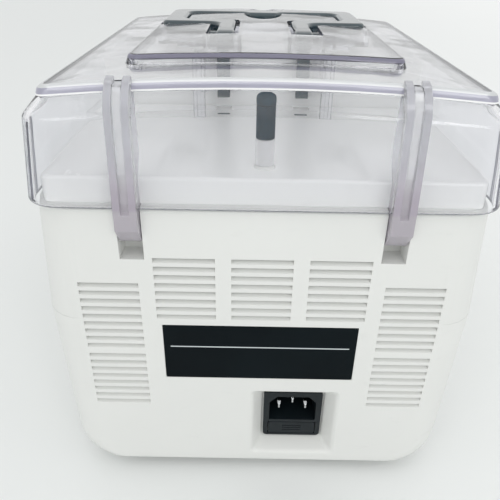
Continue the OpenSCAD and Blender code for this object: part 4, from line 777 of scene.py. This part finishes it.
# floor, sky and lamps
stage = {"floorShadedSide": (231, 233, 232), "floorLitSide": (252, 253, 252), "half": 3.0, "sky": (249, 250, 250),
         "skyLow": 0.78, "skyHigh": 1.05, "shown": (246, 247, 246)}
bm = bmesh.new()
bmesh.ops.create_grid(bm, x_segments=4, y_segments=4, size=stage["half"] * 1000)
floor = meshObject(bm, "floor")
f = Finish(bpy.data.materials.new("floorPaintedLight"))
# the floor's paint grows lighter towards -X, the view's right: painted light, for the brighter light on that
# side
paintedLightSweep = (f.axis("X") + f.noise(3.0) * 0.1).ramp(0.5, -1.2)
floor.data.materials.append(f.done(f.skin({
    "Base Color": f.mix(paintedLightSweep, stage["floorShadedSide"], stage["floorLitSide"]),
    "Roughness": f.noise(40.0) * 0.1 + 0.5, "Normal": f.bumps((f.noise(400.0, 2.0), 0.00002))})))

studio = Finish(bpy.data.worlds.new("softStudio"))
bpy.context.scene.world = studio.owner
towards = studio.node("ShaderNodeTexCoord", {}, {}, "Generated")
height = studio.node("ShaderNodeSeparateXYZ", {}, (towards,), "Z")
sky = studio.node("ShaderNodeBackground", {}, (
    tone(stage["sky"]), height.ramp(0.0, 0.9, stage["skyLow"], stage["skyHigh"])))
# the camera, also through the clear parts, sees an even backdrop instead of the sky that lights the object
shown = studio.node("ShaderNodeBackground", {}, (tone(stage["shown"]), 1.0))
rays = [studio.node("ShaderNodeLightPath", {}, {}, kind) for kind in ("Is Camera Ray", "Is Transmission Ray")]
seen = rays[0].maths("MAXIMUM", *rays)
studio.node("ShaderNodeOutputWorld", {}, (studio.node("ShaderNodeMixShader", {}, (seen, sky, shown)),))

# two soft lamps behind the machine, on the photograph's side
lamps = {"keyLamp": {"at": (-0.55, 1.25, 0.95), "aim": (0, 0.1, 0.12), "size": (0.5, 0.4), "watts": 2.6},
         "fillLamp": {"at": (0.75, 1.15, 0.85), "aim": (0, 0.1, 0.12), "size": (0.5, 0.4), "watts": 1.6}}
for name, row in lamps.items():
    light = bpy.data.lights.new(name, "AREA")
    light.shape, light.size, light.size_y, light.energy = "RECTANGLE", *row["size"], row["watts"]
    lamp = bpy.data.objects.new(name, light)
    bpy.context.scene.collection.objects.link(lamp)
    lamp.location = row["at"]
    lamp.rotation_euler = (Vector(row["aim"]) - Vector(row["at"])).to_track_quat("-Z", "Y").to_euler()

# the photograph's view, straight from behind and 30 degrees down; pixels is the lens's length in its frame
view = {"pixels": 538.97, "frame": 500, "at": (0.0055, 0.3375, 0.254), "pitch": 30.19, "roll": 1.02}
p, r = math.radians(view["pitch"]), math.radians(view["roll"])
ahead = Vector((0, -math.cos(p), -math.sin(p)))
level, rise = Vector((-1, 0, 0)), Vector((0, -math.sin(p), math.cos(p)))
right, up = level * math.cos(r) + rise * math.sin(r), rise * math.cos(r) - level * math.sin(r)
eye = bpy.data.cameras.new("camera")
eye.sensor_width, eye.lens, eye.clip_start = 36.0, 36.0 * view["pixels"] / view["frame"], 0.01
camera = bpy.data.objects.new("camera", eye)
bpy.context.scene.collection.objects.link(camera)
camera.matrix_world = Matrix.Translation(view["at"]) @ Matrix((right, up, -ahead)).transposed().to_4x4()
bpy.context.scene.camera = camera
bpy.context.scene.view_settings.view_transform = "Standard"
print("stage and camera made")
